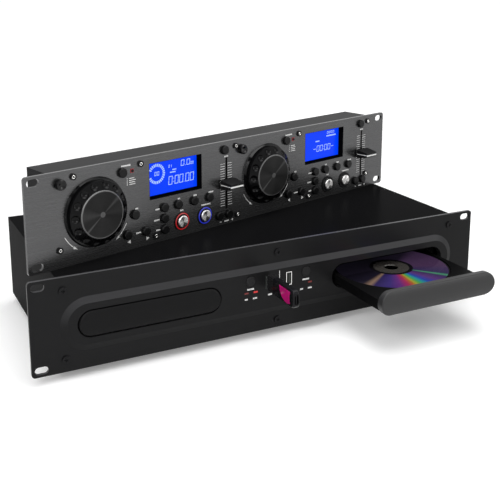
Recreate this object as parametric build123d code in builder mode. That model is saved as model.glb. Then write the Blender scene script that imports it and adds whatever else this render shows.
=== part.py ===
"""Dual disc player for DJ use: a control unit standing, slightly turned, on a disc drive unit.

Both units are 19-inch rack units, two rack units high. Millimetres. X points right seen from the front,
Y to the back and Z up. The origin is the centre of the footprint of the whole, on the surface it stands on.
Each unit is drawn on its own panel plane: there x runs along the panel, y is the height above the panel's
lower edge, and the third direction, called out below, comes towards the user.
"""
from build123d import *
import os
from math import atan2, cos, radians, sin, sqrt

# ---------------------------------------------------------------- rack panels, shared by both units
RACK_WIDTH = 482.6
PANEL_HEIGHT = 88.1
PANEL_THICKNESS = 3.0
PANEL_CORNER = 3.0
RACK_SLOT_SPACING_X = 465.1
RACK_SLOT_SPACING_Z = 76.2
RACK_SLOT_LENGTH = 12.0
RACK_SLOT_HEIGHT = 7.0
SHEET = 1.2                     # steel sheet of the housings

# ---------------------------------------------------------------- clearances
RUNNING_GAP = 0.3               # between pieces that move past each other
SHAFT_GAP = 0.05                # a shaft in its bore, on the radius
SEAT_GAP = 0.1                  # a fixed piece in its cut-out

# ---------------------------------------------------------------- disc drive unit
FOOT_HEIGHT = 9.0
FOOT_RADIUS = 10.0
FOOT_CHAMFER = 1.0
FOOT_X = 192.0
FOOT_INSET = 30.0               # foot axis behind the panel front, and before the rear wall
BODY_WIDTH = 431.4
BODY_DEPTH = 208.4
BODY_LOW = 0.5                  # housing underside above the panel's lower edge
BODY_TOP = 86.6                 # cover above the panel's lower edge
FLANGE = 14.0                   # bent flanges behind the panel

FIELD_LENGTH = 430.0            # raised racetrack field around both doors
FIELD_HEIGHT = 50.5
FIELD_Z = 42.2
FIELD_RAISE = 2.5
FIELD_SLOPE = 6.0               # width of its sloped edge

TRAY_X = 130.7                  # tray centre from the middle of the panel
DOOR_LENGTH = 136.2
DOOR_HEIGHT = 23.8
DOOR_GAP = 0.6
DOOR_PROUD = 2.5                # crown of a closed door in front of the field
DOOR_CROWN = 2.4                # how far the front bulges between its upper and lower edge
DOOR_EDGE = 1.6
TRAY_TRAVEL = 83.0
TRAY_WIDTH = 129.4
TRAY_TOP_Z = 44.2
TRAY_THICKNESS = 5.6
TRAY_SKIRT_DROP = 4.4
TRAY_SKIRT_WALL = 2.5
TRAY_TAIL = 6.0                 # behind the disc recess
DISC_RADIUS = 60.0
DISC_THICKNESS = 1.2
DISC_HOLE_RADIUS = 7.5
DISC_SETBACK = 80.5             # disc centre behind the crown of the door
RECESS_GAP = 0.75
RECESS_DEPTH = 2.0
SMALL_RECESS_RADIUS = 40.5
SMALL_RECESS_DEPTH = 1.2
DISC_LIFT = 8.0                 # straight up, under the upper edge of the opening

LOADER_WALL = 3.0
LOADER_LEDGE = 7.0
LOADER_LIP = 2.7
LOADER_PLATE = 2.0
LOADER_PLATE_Z = 20.0
LOADER_SETBACK = 9.0            # front of the rails behind the panel front
LOADER_LENGTH = 151.0
CLAMP_BRIDGE = 24.0
CLAMP_RADIUS = 14.0
TURNTABLE_RADIUS = 14.0
MOTOR_RADIUS = 12.0
SLED_WIDTH = 28.0
SLED_LENGTH = 34.0
LENS_RADIUS = 4.0
POST_RADIUS = 4.0
POST_INSET = 12.0               # from the end of what the posts carry

USB_X = 11.4                    # port centre from the middle of the panel
USB_Z = 50.0
USB_SHELL_WIDTH = 5.9
USB_SHELL_HEIGHT = 13.1
USB_SHELL_WALL = 0.5
USB_TONGUE = 1.8
USB_TONGUE_OFFSET = 0.8
USB_TONGUE_MARGIN = 0.8         # between the tongue's edge and the shell
USB_PROUD = 0.3
STICK_LENGTH = 52.0
STICK_HEIGHT = 17.0
STICK_THICKNESS = 7.0
STICK_CORNER = 4.0
STICK_EDGE = 1.8                # rounding along the body's long edges
STICK_SETOFF = 3.0              # bare plug between the port and the stick's body
STICK_RISE = 1.6                # body above the plug's axis
PLUG_LENGTH = 12.0
EYE_WIDTH = 4.2                 # lanyard pocket in the stick's tip, with a bar across its mouth
EYE_HEIGHT = 9.6
EYE_DEPTH = 5.0
EYE_BAR = 1.1
EYE_BAR_SINK = 0.8
LENS_LENGTH = 26.0
LENS_HEIGHT = 12.8
LENS_RAISE = 0.5
LENS_FROM_BACK = 35.0

EJECT_X = 30.7
EJECT_Z = 54.0
EJECT_RADIUS = 4.6
EJECT_PROUD = 1.0
DRIVE_SCREW_X = 211.0
DRIVE_SCREW_LOW_Z = 11.8
DRIVE_SCREW_HIGH_Z = 76.0
MIDDLE_SCREW_LOW_Z = 8.2
MIDDLE_SCREW_HIGH_Z = 78.2

BOARD_THICKNESS = 1.6
MAIN_BOARD_Z = 10.0
MAIN_BOARD_WIDTH = 112.0
MAIN_BOARD_REAR = 190.0
FRONT_BOARD_SETBACK = 12.0
FRONT_BOARD_TOP = 64.0
FRONT_BOARD_WIDTH = 90.0
SUPPLY_WIDTH = 58.0
SUPPLY_DEPTH = 50.0
SUPPLY_HEIGHT = 46.0
SUPPLY_FROM_REAR = 28.0

REAR_Z = 48.0                   # height of the rear sockets
INLET_X = -150.0
INLET_WIDTH = 30.0
INLET_HEIGHT = 22.0
INLET_CAVITY_WIDTH = 24.4
INLET_CAVITY_HEIGHT = 16.4
INLET_CAVITY_DEPTH = 15.0
INLET_FLANGE = 2.0
PIN_WIDTH = 2.0
PIN_HEIGHT = 4.0
PIN_SPACING = 7.0
SWITCH_X = -108.0
SWITCH_WIDTH = 21.0
SWITCH_HEIGHT = 15.0
ROCKER_WIDTH = 15.6
ROCKER_HEIGHT = 11.0
ROCKER_RADIUS = 6.4
ROCKER_AXIS_DEPTH = 2.2         # rocker axis inside the outer face of its frame
JACK_X = 60.0
JACK_SPACING_X = 30.0
JACK_SPACING_Z = 15.0
JACK_RADIUS = 4.15
JACK_HOLE_RADIUS = 1.6
JACK_PROUD = 8.0
JACK_PLATE_WIDTH = 14.0
JACK_PLATE_HEIGHT = 30.0
LINK_X = 140.0
LINK_SPACING = 42.0
LINK_WIDTH = 18.0
LINK_HEIGHT = 9.0
LINK_PLATE_WIDTH = 31.0
LINK_PROUD = 5.0

# ---------------------------------------------------------------- control unit
CONTROL_YAW = 16.0              # degrees, turned to the left seen from the front
CONTROL_X = -3.5                # middle of its panel
CONTROL_SETBACK = 84.6          # middle of its panel behind the drive unit's panel
HOUSING_WIDTH = 433.4
HOUSING_DEPTH = 39.6
HOUSING_HEIGHT = 86.9

DECK_SPACING = 214.8
JOG_SPOT = (-64.0, 44.5)
JOG_BEZEL_RADIUS = 33.0
JOG_BEZEL_HEIGHT = 2.4
JOG_RADIUS = 30.2
JOG_RIM_HEIGHT = 6.0
JOG_FACE_RADIUS = 21.8
JOG_EDGE = 1.0
JOG_HEIGHT = 12.0
JOG_FOOT = 0.6                  # underside of the wheel in front of the panel
JOG_SHAFT_RADIUS = 4.0
DIMPLE_COUNT = 14
DIMPLE_RADIUS = 3.9
DIMPLE_BALL = 5.0
DIMPLE_PITCH_RADIUS = 26.2
KNOB_SPOT = (-100.0, 76.8)
KNOB_RADIUS = 5.7
KNOB_HEIGHT = 10.5
KNOB_FOOT = 0.6
KNOB_SHAFT_RADIUS = 3.0
KNOB_GRIPS = 16
KNOB_GRIP_RADIUS = 0.45
WINDOW_SPOT = (28.7, 61.8)
WINDOW_WIDTH = 64.5
WINDOW_HEIGHT = 36.0
DISPLAY_SETBACK = 6.5           # display glass behind the panel front
DISPLAY_THICKNESS = 2.0
WELL_WALL = 2.0
FADER_SPOT = (93.9, 43.5)
FADER_SLOT_WIDTH = 2.4
FADER_SLOT_SPARE = 3.0          # slot beyond the blade at each end of its travel
FADER_TRAVEL = 22.0             # each way from the middle
FADER_CAP_WIDTH = 19.0
FADER_CAP_FOOT = 10.0
FADER_CAP_TIP = 5.0
FADER_CAP_DRAFT = 1.6           # narrower at the tip, both sides together
FADER_CAP_HEIGHT = 16.5
FADER_BLADE_WIDTH = 1.6
FADER_BLADE_HEIGHT = 5.0
FADER_BODY_WALL = 1.5
FADER_OVER_SCREW = 0.4          # the cap passes over the screw head beside its slot
FADER_BODY_WIDTH = 9.0
FADER_BODY_FRONT = 6.8
BLADE_DEPTH = 5.0               # how deep the blade reaches into the fader body
LAMP_SPOT = (-23.0, 76.3)
LAMP_RADIUS = 1.5

BUTTON_RADIUS = 4.5
BUTTON_PROUD = 3.4
BUTTON_DOME = 1.0
BUTTON_TRAVEL = 1.2
RETAINER_LIP = 0.5              # retaining flange beyond the hole
RETAINER_THICKNESS = 1.5
SMALL_BUTTONS = {
    "option": (-34.5, 76.3),
    "search": (-21.7, 33.5),
    "back": (-30.8, 15.6),
    "forward": (-9.7, 14.7),
    "side_top": (12.9, 33.6),
    "side_middle": (12.9, 22.7),
    "side_bottom": (12.9, 11.8),
    "row_left": (30.0, 33.4),
    "row_middle": (50.0, 33.4),
    "row_right": (70.0, 33.4),
    "pitch_on": (90.8, 79.3),
    "pitch_minus": (83.2, 10.8),
    "pitch_plus": (96.3, 10.8),
}
METAL_BUTTONS = {"cue": (34.5, 15.3), "play": (63.9, 15.3)}
METAL_BUTTON_RADIUS = 6.2
METAL_BUTTON_PROUD = 3.6
RING_WALL = 2.7
RING_PROUD = 1.2
CONTROL_SCREWS = [
    (-193.5, 81.3), (-210.0, 16.5), (-120.9, 81.5), (-105.3, 7.4), (-1.0, 81.3),
    (1.0, 7.7), (93.5, 81.4), (109.5, 7.2), (211.5, 81.0), (210.0, 17.0),
]
SCREW_HEAD_RADIUS = 3.0
SCREW_HEAD_HEIGHT = 1.6
SCREW_SHANK_RADIUS = 1.5
SCREW_SHANK_LENGTH = 6.0
SCREW_SOCKET_RADIUS = 1.3
DRIVE_HEAD_RADIUS = 3.6
DRIVE_CROSS = 1.0

CONTROL_BOARD_SETBACK = 20.0
CONTROL_BOARD_WIDTH = 424.0
CONTROL_BOARD_HEIGHT = 78.0
SWITCH_BLOCK = 6.0
ENCODER_SIZE = 14.0

# ---------------------------------------------------------------- worked out from the sizes above
DOOR_OUT = FIELD_RAISE + DOOR_PROUD
DOOR_BACK = -PANEL_THICKNESS
REAR_REACH = BODY_DEPTH + JACK_PROUD
FRONT_REACH = DOOR_OUT + TRAY_TRAVEL
DRIVE_FRONT_Y = (FRONT_REACH - REAR_REACH) / 2
DRIVE_LOW_Z = FOOT_HEIGHT - BODY_LOW
DRIVE_TOP_Z = DRIVE_LOW_Z + BODY_TOP
DISC_Y = DISC_SETBACK - DOOR_OUT
RECESS_RADIUS = DISC_RADIUS + RECESS_GAP
TRAY_REAR = DISC_Y + RECESS_RADIUS + TRAY_TAIL
RECESS_Z = TRAY_TOP_Z - RECESS_DEPTH
TRAY_LOW_Z = TRAY_TOP_Z - TRAY_THICKNESS
SKIRT_LOW_Z = TRAY_LOW_Z - TRAY_SKIRT_DROP
SPINDLE_SLOT = 2 * (TURNTABLE_RADIUS + 1.0)
PANEL_MIDDLE = PANEL_HEIGHT / 2
BUTTON_HOLE_RADIUS = BUTTON_RADIUS + RUNNING_GAP
RETAINER_FRONT = -PANEL_THICKNESS - RUNNING_GAP
RETAINER_BACK = RETAINER_FRONT - RETAINER_THICKNESS
FADER_CAP_LIFT = SCREW_HEAD_HEIGHT + FADER_OVER_SCREW
FADER_SLOT_LENGTH = 2 * (FADER_TRAVEL + FADER_SLOT_SPARE) + FADER_BLADE_HEIGHT
FADER_BODY_LENGTH = FADER_SLOT_LENGTH + 2 * FADER_BODY_WALL
SWITCH_FRONT = RETAINER_BACK - BUTTON_TRAVEL - RUNNING_GAP

drive_face = Plane(origin=(0, DRIVE_FRONT_Y, DRIVE_LOW_Z), x_dir=(1, 0, 0), z_dir=(0, -1, 0))
control_face = Plane(
    origin=(CONTROL_X, DRIVE_FRONT_Y + CONTROL_SETBACK, DRIVE_TOP_Z),
    x_dir=(cos(radians(CONTROL_YAW)), sin(radians(CONTROL_YAW)), 0),
    z_dir=(sin(radians(CONTROL_YAW)), -cos(radians(CONTROL_YAW)), 0),
)
DECKS = {"a": -DECK_SPACING / 2, "b": DECK_SPACING / 2}
SIDES = {"left": -1, "right": 1}


def level_plane(x, setback, height=0.0):
    """Returns a level plane in the drive unit, x along the panel, y to the back and z up."""
    return Plane(
        origin=(x, DRIVE_FRONT_Y + setback, DRIVE_LOW_Z + height), x_dir=(1, 0, 0), z_dir=(0, 0, 1)
    )


def upright_plane(x):
    """Returns a plane square to the drive unit's panel that faces left, x towards the user and y up."""
    return Plane(origin=(x, DRIVE_FRONT_Y, DRIVE_LOW_Z), x_dir=(0, -1, 0), z_dir=(-1, 0, 0))


def save(part, name):
    """Labels a finished piece and writes it as its own file."""
    part.label = name
    export_step(part, f"parts/{name}.step")


def on_deck(deck, spot):
    """Returns a spot given from a deck's middle as a spot on the panel."""
    return (DECKS[deck] + spot[0], spot[1])


def rods(face, spots, radius, near, far, mode=Mode.ADD):
    """Adds or cuts round rods that run between two distances in front of a face."""
    with BuildSketch(face.offset(near)) as circles:
        with Locations(*spots):
            Circle(radius)
    extrude(circles.sketch, amount=far - near, mode=mode)


def blocks(face, spots, width, height, near, far, mode=Mode.ADD):
    """Adds or cuts rectangular blocks that run between two distances in front of a face."""
    with BuildSketch(face.offset(near)) as rectangles:
        with Locations(*spots):
            Rectangle(width, height)
    extrude(rectangles.sketch, amount=far - near, mode=mode)


def slots(face, spots, length, height, near, far, mode=Mode.ADD):
    """Adds or cuts round-ended slots that run between two distances in front of a face."""
    with BuildSketch(face.offset(near)) as outlines:
        with Locations(*spots):
            SlotOverall(length, height)
    extrude(outlines.sketch, amount=far - near, mode=mode)


def rack_panel(face):
    """Adds a rack panel with its four slots, its front on the given face."""
    with BuildSketch(face) as outline:
        with Locations((0, PANEL_MIDDLE)):
            RectangleRounded(RACK_WIDTH, PANEL_HEIGHT, PANEL_CORNER)
            with GridLocations(RACK_SLOT_SPACING_X, RACK_SLOT_SPACING_Z, 2, 2):
                SlotOverall(RACK_SLOT_LENGTH, RACK_SLOT_HEIGHT, mode=Mode.SUBTRACT)
    extrude(outline.sketch, amount=-PANEL_THICKNESS)


def bar(face, left, right, low, high, near, far, mode=Mode.ADD):
    """Adds or cuts one block given by its limits along the panel, in height and in front of the face."""
    spot = ((left + right) / 2, (low + high) / 2)
    blocks(face, [spot], right - left, high - low, near, far, mode)


os.makedirs("parts", exist_ok=True)

# ================================================================ disc drive unit
door_spots = [(side * TRAY_X, FIELD_Z) for side in SIDES.values()]
usb_spots = [(side * USB_X, USB_Z) for side in SIDES.values()]
eject_spots = [(side * EJECT_X, EJECT_Z) for side in SIDES.values()]
drive_screw_spots = [
    (side * DRIVE_SCREW_X, height)
    for side in SIDES.values()
    for height in (DRIVE_SCREW_LOW_Z, DRIVE_SCREW_HIGH_Z)
]
drive_screw_spots += [(0, MIDDLE_SCREW_LOW_Z), (0, MIDDLE_SCREW_HIGH_Z)]

with BuildPart() as drive_front_panel:
    rack_panel(drive_face)
    with BuildSketch(drive_face):
        with Locations((0, FIELD_Z)):
            SlotOverall(FIELD_LENGTH, FIELD_HEIGHT)
    with BuildSketch(drive_face.offset(FIELD_RAISE)):
        with Locations((0, FIELD_Z)):
            SlotOverall(FIELD_LENGTH - 2 * FIELD_SLOPE, FIELD_HEIGHT - 2 * FIELD_SLOPE)
    loft(ruled=True)
    slots(drive_face, door_spots, DOOR_LENGTH + 2 * DOOR_GAP, DOOR_HEIGHT + 2 * DOOR_GAP,
          -PANEL_THICKNESS, FIELD_RAISE, Mode.SUBTRACT)
    blocks(drive_face, usb_spots, USB_SHELL_WIDTH + 2 * SEAT_GAP, USB_SHELL_HEIGHT + 2 * SEAT_GAP,
           -PANEL_THICKNESS, FIELD_RAISE, Mode.SUBTRACT)
    rods(drive_face, eject_spots, EJECT_RADIUS + RUNNING_GAP, -PANEL_THICKNESS, FIELD_RAISE, Mode.SUBTRACT)
    rods(drive_face, drive_screw_spots, SCREW_SHANK_RADIUS + SEAT_GAP, -PANEL_THICKNESS, 0, Mode.SUBTRACT)
save(drive_front_panel.part, "drive_front_panel")

# ---------------------------------------------------------------- base tray, cover, feet, screws
wall_x = BODY_WIDTH / 2 - SHEET
floor_z = BODY_LOW + SHEET
rear = -BODY_DEPTH
inner_rear = rear + SHEET
behind_panel = -PANEL_THICKNESS
behind_flange = behind_panel - SHEET
foot_spots = [
    (side * FOOT_X, setback)
    for side in SIDES.values()
    for setback in (FOOT_INSET, BODY_DEPTH - FOOT_INSET)
]
jack_spots = [
    (JACK_X + column * JACK_SPACING_X / 2, REAR_Z + row * JACK_SPACING_Z / 2)
    for column in (-1, 1)
    for row in (-1, 1)
]
link_spots = [(LINK_X - LINK_SPACING / 2, REAR_Z), (LINK_X + LINK_SPACING / 2, REAR_Z)]
inlet_spot = (INLET_X, REAR_Z)
switch_spot = (SWITCH_X, REAR_Z)

with BuildPart() as drive_chassis:
    bar(drive_face, -wall_x, wall_x, BODY_LOW, floor_z, rear, behind_panel)
    bar(drive_face, -wall_x, wall_x, floor_z, BODY_TOP - SHEET, rear, inner_rear)
    bar(drive_face, -wall_x, wall_x, floor_z, BODY_LOW + FLANGE, behind_flange, behind_panel)
    for side in SIDES.values():
        edge, inside = side * wall_x, side * (wall_x - SHEET)
        bar(drive_face, min(edge, inside), max(edge, inside), floor_z, BODY_LOW + FLANGE,
            inner_rear, behind_flange)
    rods(drive_face, drive_screw_spots, SCREW_SHANK_RADIUS + SEAT_GAP, behind_flange, 0, Mode.SUBTRACT)
    blocks(drive_face, [inlet_spot], INLET_WIDTH + 2 * SEAT_GAP, INLET_HEIGHT + 2 * SEAT_GAP,
           rear, inner_rear, Mode.SUBTRACT)
    blocks(drive_face, [switch_spot], SWITCH_WIDTH + 2 * SEAT_GAP, SWITCH_HEIGHT + 2 * SEAT_GAP,
           rear, inner_rear, Mode.SUBTRACT)
    rods(drive_face, jack_spots, JACK_RADIUS + SEAT_GAP, rear, inner_rear, Mode.SUBTRACT)
    blocks(drive_face, link_spots, LINK_WIDTH + 2 * SEAT_GAP, LINK_HEIGHT + 2 * SEAT_GAP,
           rear, inner_rear, Mode.SUBTRACT)
save(drive_chassis.part, "drive_chassis")

with BuildPart() as drive_cover:
    bar(drive_face, -BODY_WIDTH / 2, BODY_WIDTH / 2, BODY_TOP - SHEET, BODY_TOP, rear, behind_panel)
    for side in SIDES.values():
        outside, inside = side * BODY_WIDTH / 2, side * wall_x
        bar(drive_face, min(outside, inside), max(outside, inside), BODY_LOW, BODY_TOP - SHEET,
            rear, behind_panel)
    bar(drive_face, -wall_x, wall_x, BODY_TOP - FLANGE, BODY_TOP - SHEET, behind_flange, behind_panel)
    rods(drive_face, drive_screw_spots, SCREW_SHANK_RADIUS + SEAT_GAP, behind_flange, 0, Mode.SUBTRACT)
save(drive_cover.part, "drive_cover")

with BuildPart() as drive_feet:
    rods(level_plane(0, 0), foot_spots, FOOT_RADIUS, BODY_LOW - FOOT_HEIGHT, BODY_LOW)
    chamfer(drive_feet.edges().group_by(Axis.Z)[0], FOOT_CHAMFER)
save(drive_feet.part, "drive_feet")


def panel_screws(face, spots, head_radius, head_height):
    """Adds pan-head screws whose heads sit on a panel and whose shanks pass through it."""
    rods(face, spots, head_radius, 0, head_height)
    rods(face, spots, SCREW_SHANK_RADIUS, -SCREW_SHANK_LENGTH, 0)


with BuildPart() as drive_screws:
    panel_screws(drive_face, drive_screw_spots, DRIVE_HEAD_RADIUS, SCREW_HEAD_HEIGHT)
    for width, height in ((DRIVE_HEAD_RADIUS, DRIVE_CROSS), (DRIVE_CROSS, DRIVE_HEAD_RADIUS)):
        blocks(drive_face, drive_screw_spots, width, height,
               SCREW_HEAD_HEIGHT - DRIVE_CROSS, SCREW_HEAD_HEIGHT, Mode.SUBTRACT)
save(drive_screws.part, "drive_screws")


# ---------------------------------------------------------------- trays, doors and the disc
def make_tray(side, opened):
    """Builds the tray of one side, drawn out by the given distance."""
    length = TRAY_REAR + DOOR_BACK
    middle = (TRAY_REAR - DOOR_BACK) / 2
    skirt_x = (TRAY_WIDTH - TRAY_SKIRT_WALL) / 2
    level = level_plane(side * TRAY_X, -opened)
    with BuildPart() as tray:
        blocks(level, [(0, middle)], TRAY_WIDTH, length, TRAY_LOW_Z, TRAY_TOP_Z)
        blocks(level, [(-skirt_x, middle), (skirt_x, middle)], TRAY_SKIRT_WALL, length,
               SKIRT_LOW_Z, TRAY_LOW_Z)
        rods(level, [(0, DISC_Y)], RECESS_RADIUS, RECESS_Z, TRAY_TOP_Z, Mode.SUBTRACT)
        rods(level, [(0, DISC_Y)], SMALL_RECESS_RADIUS, RECESS_Z - SMALL_RECESS_DEPTH, RECESS_Z,
             Mode.SUBTRACT)
        rods(level, [(0, DISC_Y)], SPINDLE_SLOT / 2, TRAY_LOW_Z, TRAY_TOP_Z, Mode.SUBTRACT)
        blocks(level, [(0, (DISC_Y + TRAY_REAR) / 2)], SPINDLE_SLOT, TRAY_REAR - DISC_Y,
               TRAY_LOW_Z, TRAY_TOP_Z, Mode.SUBTRACT)
    return tray.part


def make_door(side, opened):
    """Builds the crowned stadium door in front of one tray."""
    face = drive_face.offset(opened)
    half = DOOR_HEIGHT / 2
    crown_radius = (half**2 + DOOR_CROWN**2) / (2 * DOOR_CROWN)
    with BuildPart() as door:
        slots(face, [(side * TRAY_X, FIELD_Z)], DOOR_LENGTH, DOOR_HEIGHT, DOOR_BACK, DOOR_OUT)
        with BuildSketch(upright_plane(side * TRAY_X)) as crown:
            with Locations((opened + DOOR_OUT - crown_radius, FIELD_Z)):
                Circle(crown_radius)
        extrude(crown.sketch, amount=DOOR_LENGTH, both=True, mode=Mode.INTERSECT)
        fillet(door.faces().sort_by(Axis.Y)[0].edges(), DOOR_EDGE)
    return door.part


OPENED = {"left": 0.0, "right": TRAY_TRAVEL}
for name, side in SIDES.items():
    save(make_tray(side, OPENED[name]), f"tray_{name}")
    save(make_door(side, OPENED[name]), f"tray_door_{name}")

disc_level = level_plane(SIDES["right"] * TRAY_X, DISC_Y - OPENED["right"], RECESS_Z)
with BuildPart() as disc:
    rods(disc_level, [(0, 0)], DISC_RADIUS, 0, DISC_THICKNESS)
    rods(disc_level, [(0, 0)], DISC_HOLE_RADIUS, 0, DISC_THICKNESS, Mode.SUBTRACT)
save(disc.part, "disc")

# ---------------------------------------------------------------- loaders with their pickups
rail_inside = TRAY_WIDTH / 2 + RUNNING_GAP
rail_outside = rail_inside + LOADER_WALL
ledge_top = SKIRT_LOW_Z - RUNNING_GAP
lip_low = TRAY_TOP_Z + RUNNING_GAP
bridge_low = TRAY_TOP_Z + DISC_LIFT + LOADER_WALL
bridge_top = bridge_low + LOADER_WALL
plate_top = LOADER_PLATE_Z + LOADER_PLATE
turntable_top = RECESS_Z - 1.0
loader_front = -LOADER_SETBACK
loader_back = -LOADER_SETBACK - LOADER_LENGTH
sled_top = TRAY_LOW_Z - 3.0


def add_loader(side):
    """Adds the fixed frame, rails, clamp bridge and pickup that serve one tray."""
    middle = side * TRAY_X
    post_setbacks = (POST_INSET - loader_front, -loader_back - POST_INSET)
    for hand in (-1, 1):
        wall = sorted((middle + hand * rail_inside, middle + hand * rail_outside))
        ledge = sorted((middle + hand * (rail_inside - LOADER_LEDGE), middle + hand * rail_inside))
        lip = sorted((middle + hand * (rail_inside - LOADER_LIP), middle + hand * rail_inside))
        bar(drive_face, *wall, LOADER_PLATE_Z, bridge_top, loader_back, loader_front)
        bar(drive_face, *ledge, ledge_top - LOADER_PLATE, ledge_top, loader_back, loader_front)
        bar(drive_face, *lip, lip_low, lip_low + LOADER_PLATE, loader_back, loader_front)
        posts = [(hand * TRAY_WIDTH / 3, setback) for setback in post_setbacks]
        rods(level_plane(middle, 0), posts, POST_RADIUS, floor_z, LOADER_PLATE_Z)
    bar(drive_face, middle - rail_inside, middle + rail_inside, LOADER_PLATE_Z, plate_top,
        loader_back, loader_front)
    bar(drive_face, middle - rail_inside, middle + rail_inside, bridge_low, bridge_top,
        -DISC_Y - CLAMP_BRIDGE / 2, -DISC_Y + CLAMP_BRIDGE / 2)
    spindle = level_plane(middle, DISC_Y)
    rods(spindle, [(0, 0)], CLAMP_RADIUS, bridge_low - LOADER_PLATE, bridge_low)
    rods(spindle, [(0, 0)], MOTOR_RADIUS, plate_top, TRAY_LOW_Z)
    rods(spindle, [(0, 0)], TURNTABLE_RADIUS, TRAY_LOW_Z, turntable_top)
    sled_y = MOTOR_RADIUS + SLED_LENGTH / 2 + LOADER_PLATE
    blocks(spindle, [(0, sled_y)], SLED_WIDTH, SLED_LENGTH, plate_top, sled_top)
    rods(spindle, [(0, sled_y)], LENS_RADIUS, sled_top, sled_top + LOADER_PLATE)


with BuildPart() as loader_mechanisms:
    for side in SIDES.values():
        add_loader(side)
save(loader_mechanisms.part, "loader_mechanisms")

# ---------------------------------------------------------------- boards, ports and supply
board_top = MAIN_BOARD_Z + BOARD_THICKNESS
front_board = -FRONT_BOARD_SETBACK
supply_back = -BODY_DEPTH + SUPPLY_FROM_REAR

with BuildPart() as drive_electronics:
    bar(drive_face, -MAIN_BOARD_WIDTH / 2, MAIN_BOARD_WIDTH / 2, MAIN_BOARD_Z, board_top,
        -MAIN_BOARD_REAR, front_board)
    bar(drive_face, -FRONT_BOARD_WIDTH / 2, FRONT_BOARD_WIDTH / 2, board_top, FRONT_BOARD_TOP,
        front_board - BOARD_THICKNESS, front_board)
    bar(drive_face, -SUPPLY_WIDTH / 2, SUPPLY_WIDTH / 2, board_top, board_top + SUPPLY_HEIGHT,
        supply_back, supply_back + SUPPLY_DEPTH)
    post_x = MAIN_BOARD_WIDTH / 2 - POST_INSET
    post_setbacks = (FRONT_BOARD_SETBACK + POST_INSET, MAIN_BOARD_REAR - POST_INSET)
    posts = [(x, setback) for x in (-post_x, post_x) for setback in post_setbacks]
    rods(level_plane(0, 0), posts, POST_RADIUS, floor_z, MAIN_BOARD_Z)
    blocks(drive_face, eject_spots, SWITCH_BLOCK, SWITCH_BLOCK, front_board, SWITCH_FRONT)
    port_front = FIELD_RAISE + USB_PROUD
    port_floor = front_board + USB_SHELL_WALL
    inner_width = USB_SHELL_WIDTH - 2 * USB_SHELL_WALL
    inner_height = USB_SHELL_HEIGHT - 2 * USB_SHELL_WALL
    tongue_spots = [(spot[0] + USB_TONGUE_OFFSET, spot[1]) for spot in usb_spots]
    tongue_height = inner_height - 2 * USB_TONGUE_MARGIN
    blocks(drive_face, usb_spots, USB_SHELL_WIDTH, USB_SHELL_HEIGHT, front_board, port_front)
    blocks(drive_face, usb_spots, inner_width, inner_height, port_floor, port_front, Mode.SUBTRACT)
    blocks(drive_face, tongue_spots, USB_TONGUE, tongue_height, port_floor, port_front - USB_TONGUE_MARGIN)
save(drive_electronics.part, "drive_electronics")

with BuildPart() as usb_stick:
    stick_x = -USB_X
    stick_z = USB_Z + STICK_RISE
    back_out = port_front + STICK_SETOFF
    tip_out = back_out + STICK_LENGTH
    stick_side = upright_plane(stick_x - STICK_THICKNESS / 2)
    with BuildSketch(stick_side) as stick_outline:
        with Locations(((back_out + tip_out) / 2, stick_z)):
            RectangleRounded(STICK_LENGTH, STICK_HEIGHT, STICK_CORNER)
    extrude(stick_outline.sketch, amount=-STICK_THICKNESS)
    for broad_side in (0, -1):
        fillet(usb_stick.faces().sort_by(Axis.X)[broad_side].edges(), STICK_EDGE)
    with BuildSketch(drive_face.offset(tip_out)) as eye:
        with Locations((stick_x, stick_z)):
            SlotOverall(EYE_HEIGHT, EYE_WIDTH, rotation=90)
    extrude(eye.sketch, amount=-EYE_DEPTH, mode=Mode.SUBTRACT)
    blocks(drive_face, [(stick_x, stick_z)], EYE_BAR, EYE_HEIGHT,
           tip_out - EYE_BAR_SINK - EYE_BAR, tip_out - EYE_BAR_SINK)
    with BuildSketch(stick_side) as lens:
        with Locations((back_out + LENS_FROM_BACK, stick_z)):
            Ellipse(LENS_LENGTH / 2, LENS_HEIGHT / 2)
    extrude(lens.sketch, amount=LENS_RAISE)
    plug_width = inner_width - 2 * SEAT_GAP
    plug_height = inner_height - 2 * SEAT_GAP
    blocks(drive_face, [(stick_x, USB_Z)], plug_width, plug_height, port_front - PLUG_LENGTH, back_out)
    blocks(drive_face, [(stick_x + USB_TONGUE_OFFSET, USB_Z)], USB_TONGUE + 2 * RUNNING_GAP,
           tongue_height + 2 * RUNNING_GAP, port_front - PLUG_LENGTH, port_front,
           Mode.SUBTRACT)
save(usb_stick.part, "usb_stick")

for name, side in SIDES.items():
    spot = [(side * EJECT_X, EJECT_Z)]
    with BuildPart() as eject:
        rods(drive_face, spot, EJECT_RADIUS, RETAINER_FRONT, FIELD_RAISE + EJECT_PROUD)
        fillet(eject.edges().filter_by(GeomType.CIRCLE).sort_by(Axis.Y)[0], EJECT_PROUD / 2)
        rods(drive_face, spot, EJECT_RADIUS + RUNNING_GAP + RETAINER_LIP, RETAINER_BACK, RETAINER_FRONT)
    save(eject.part, f"eject_{name}")

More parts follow.
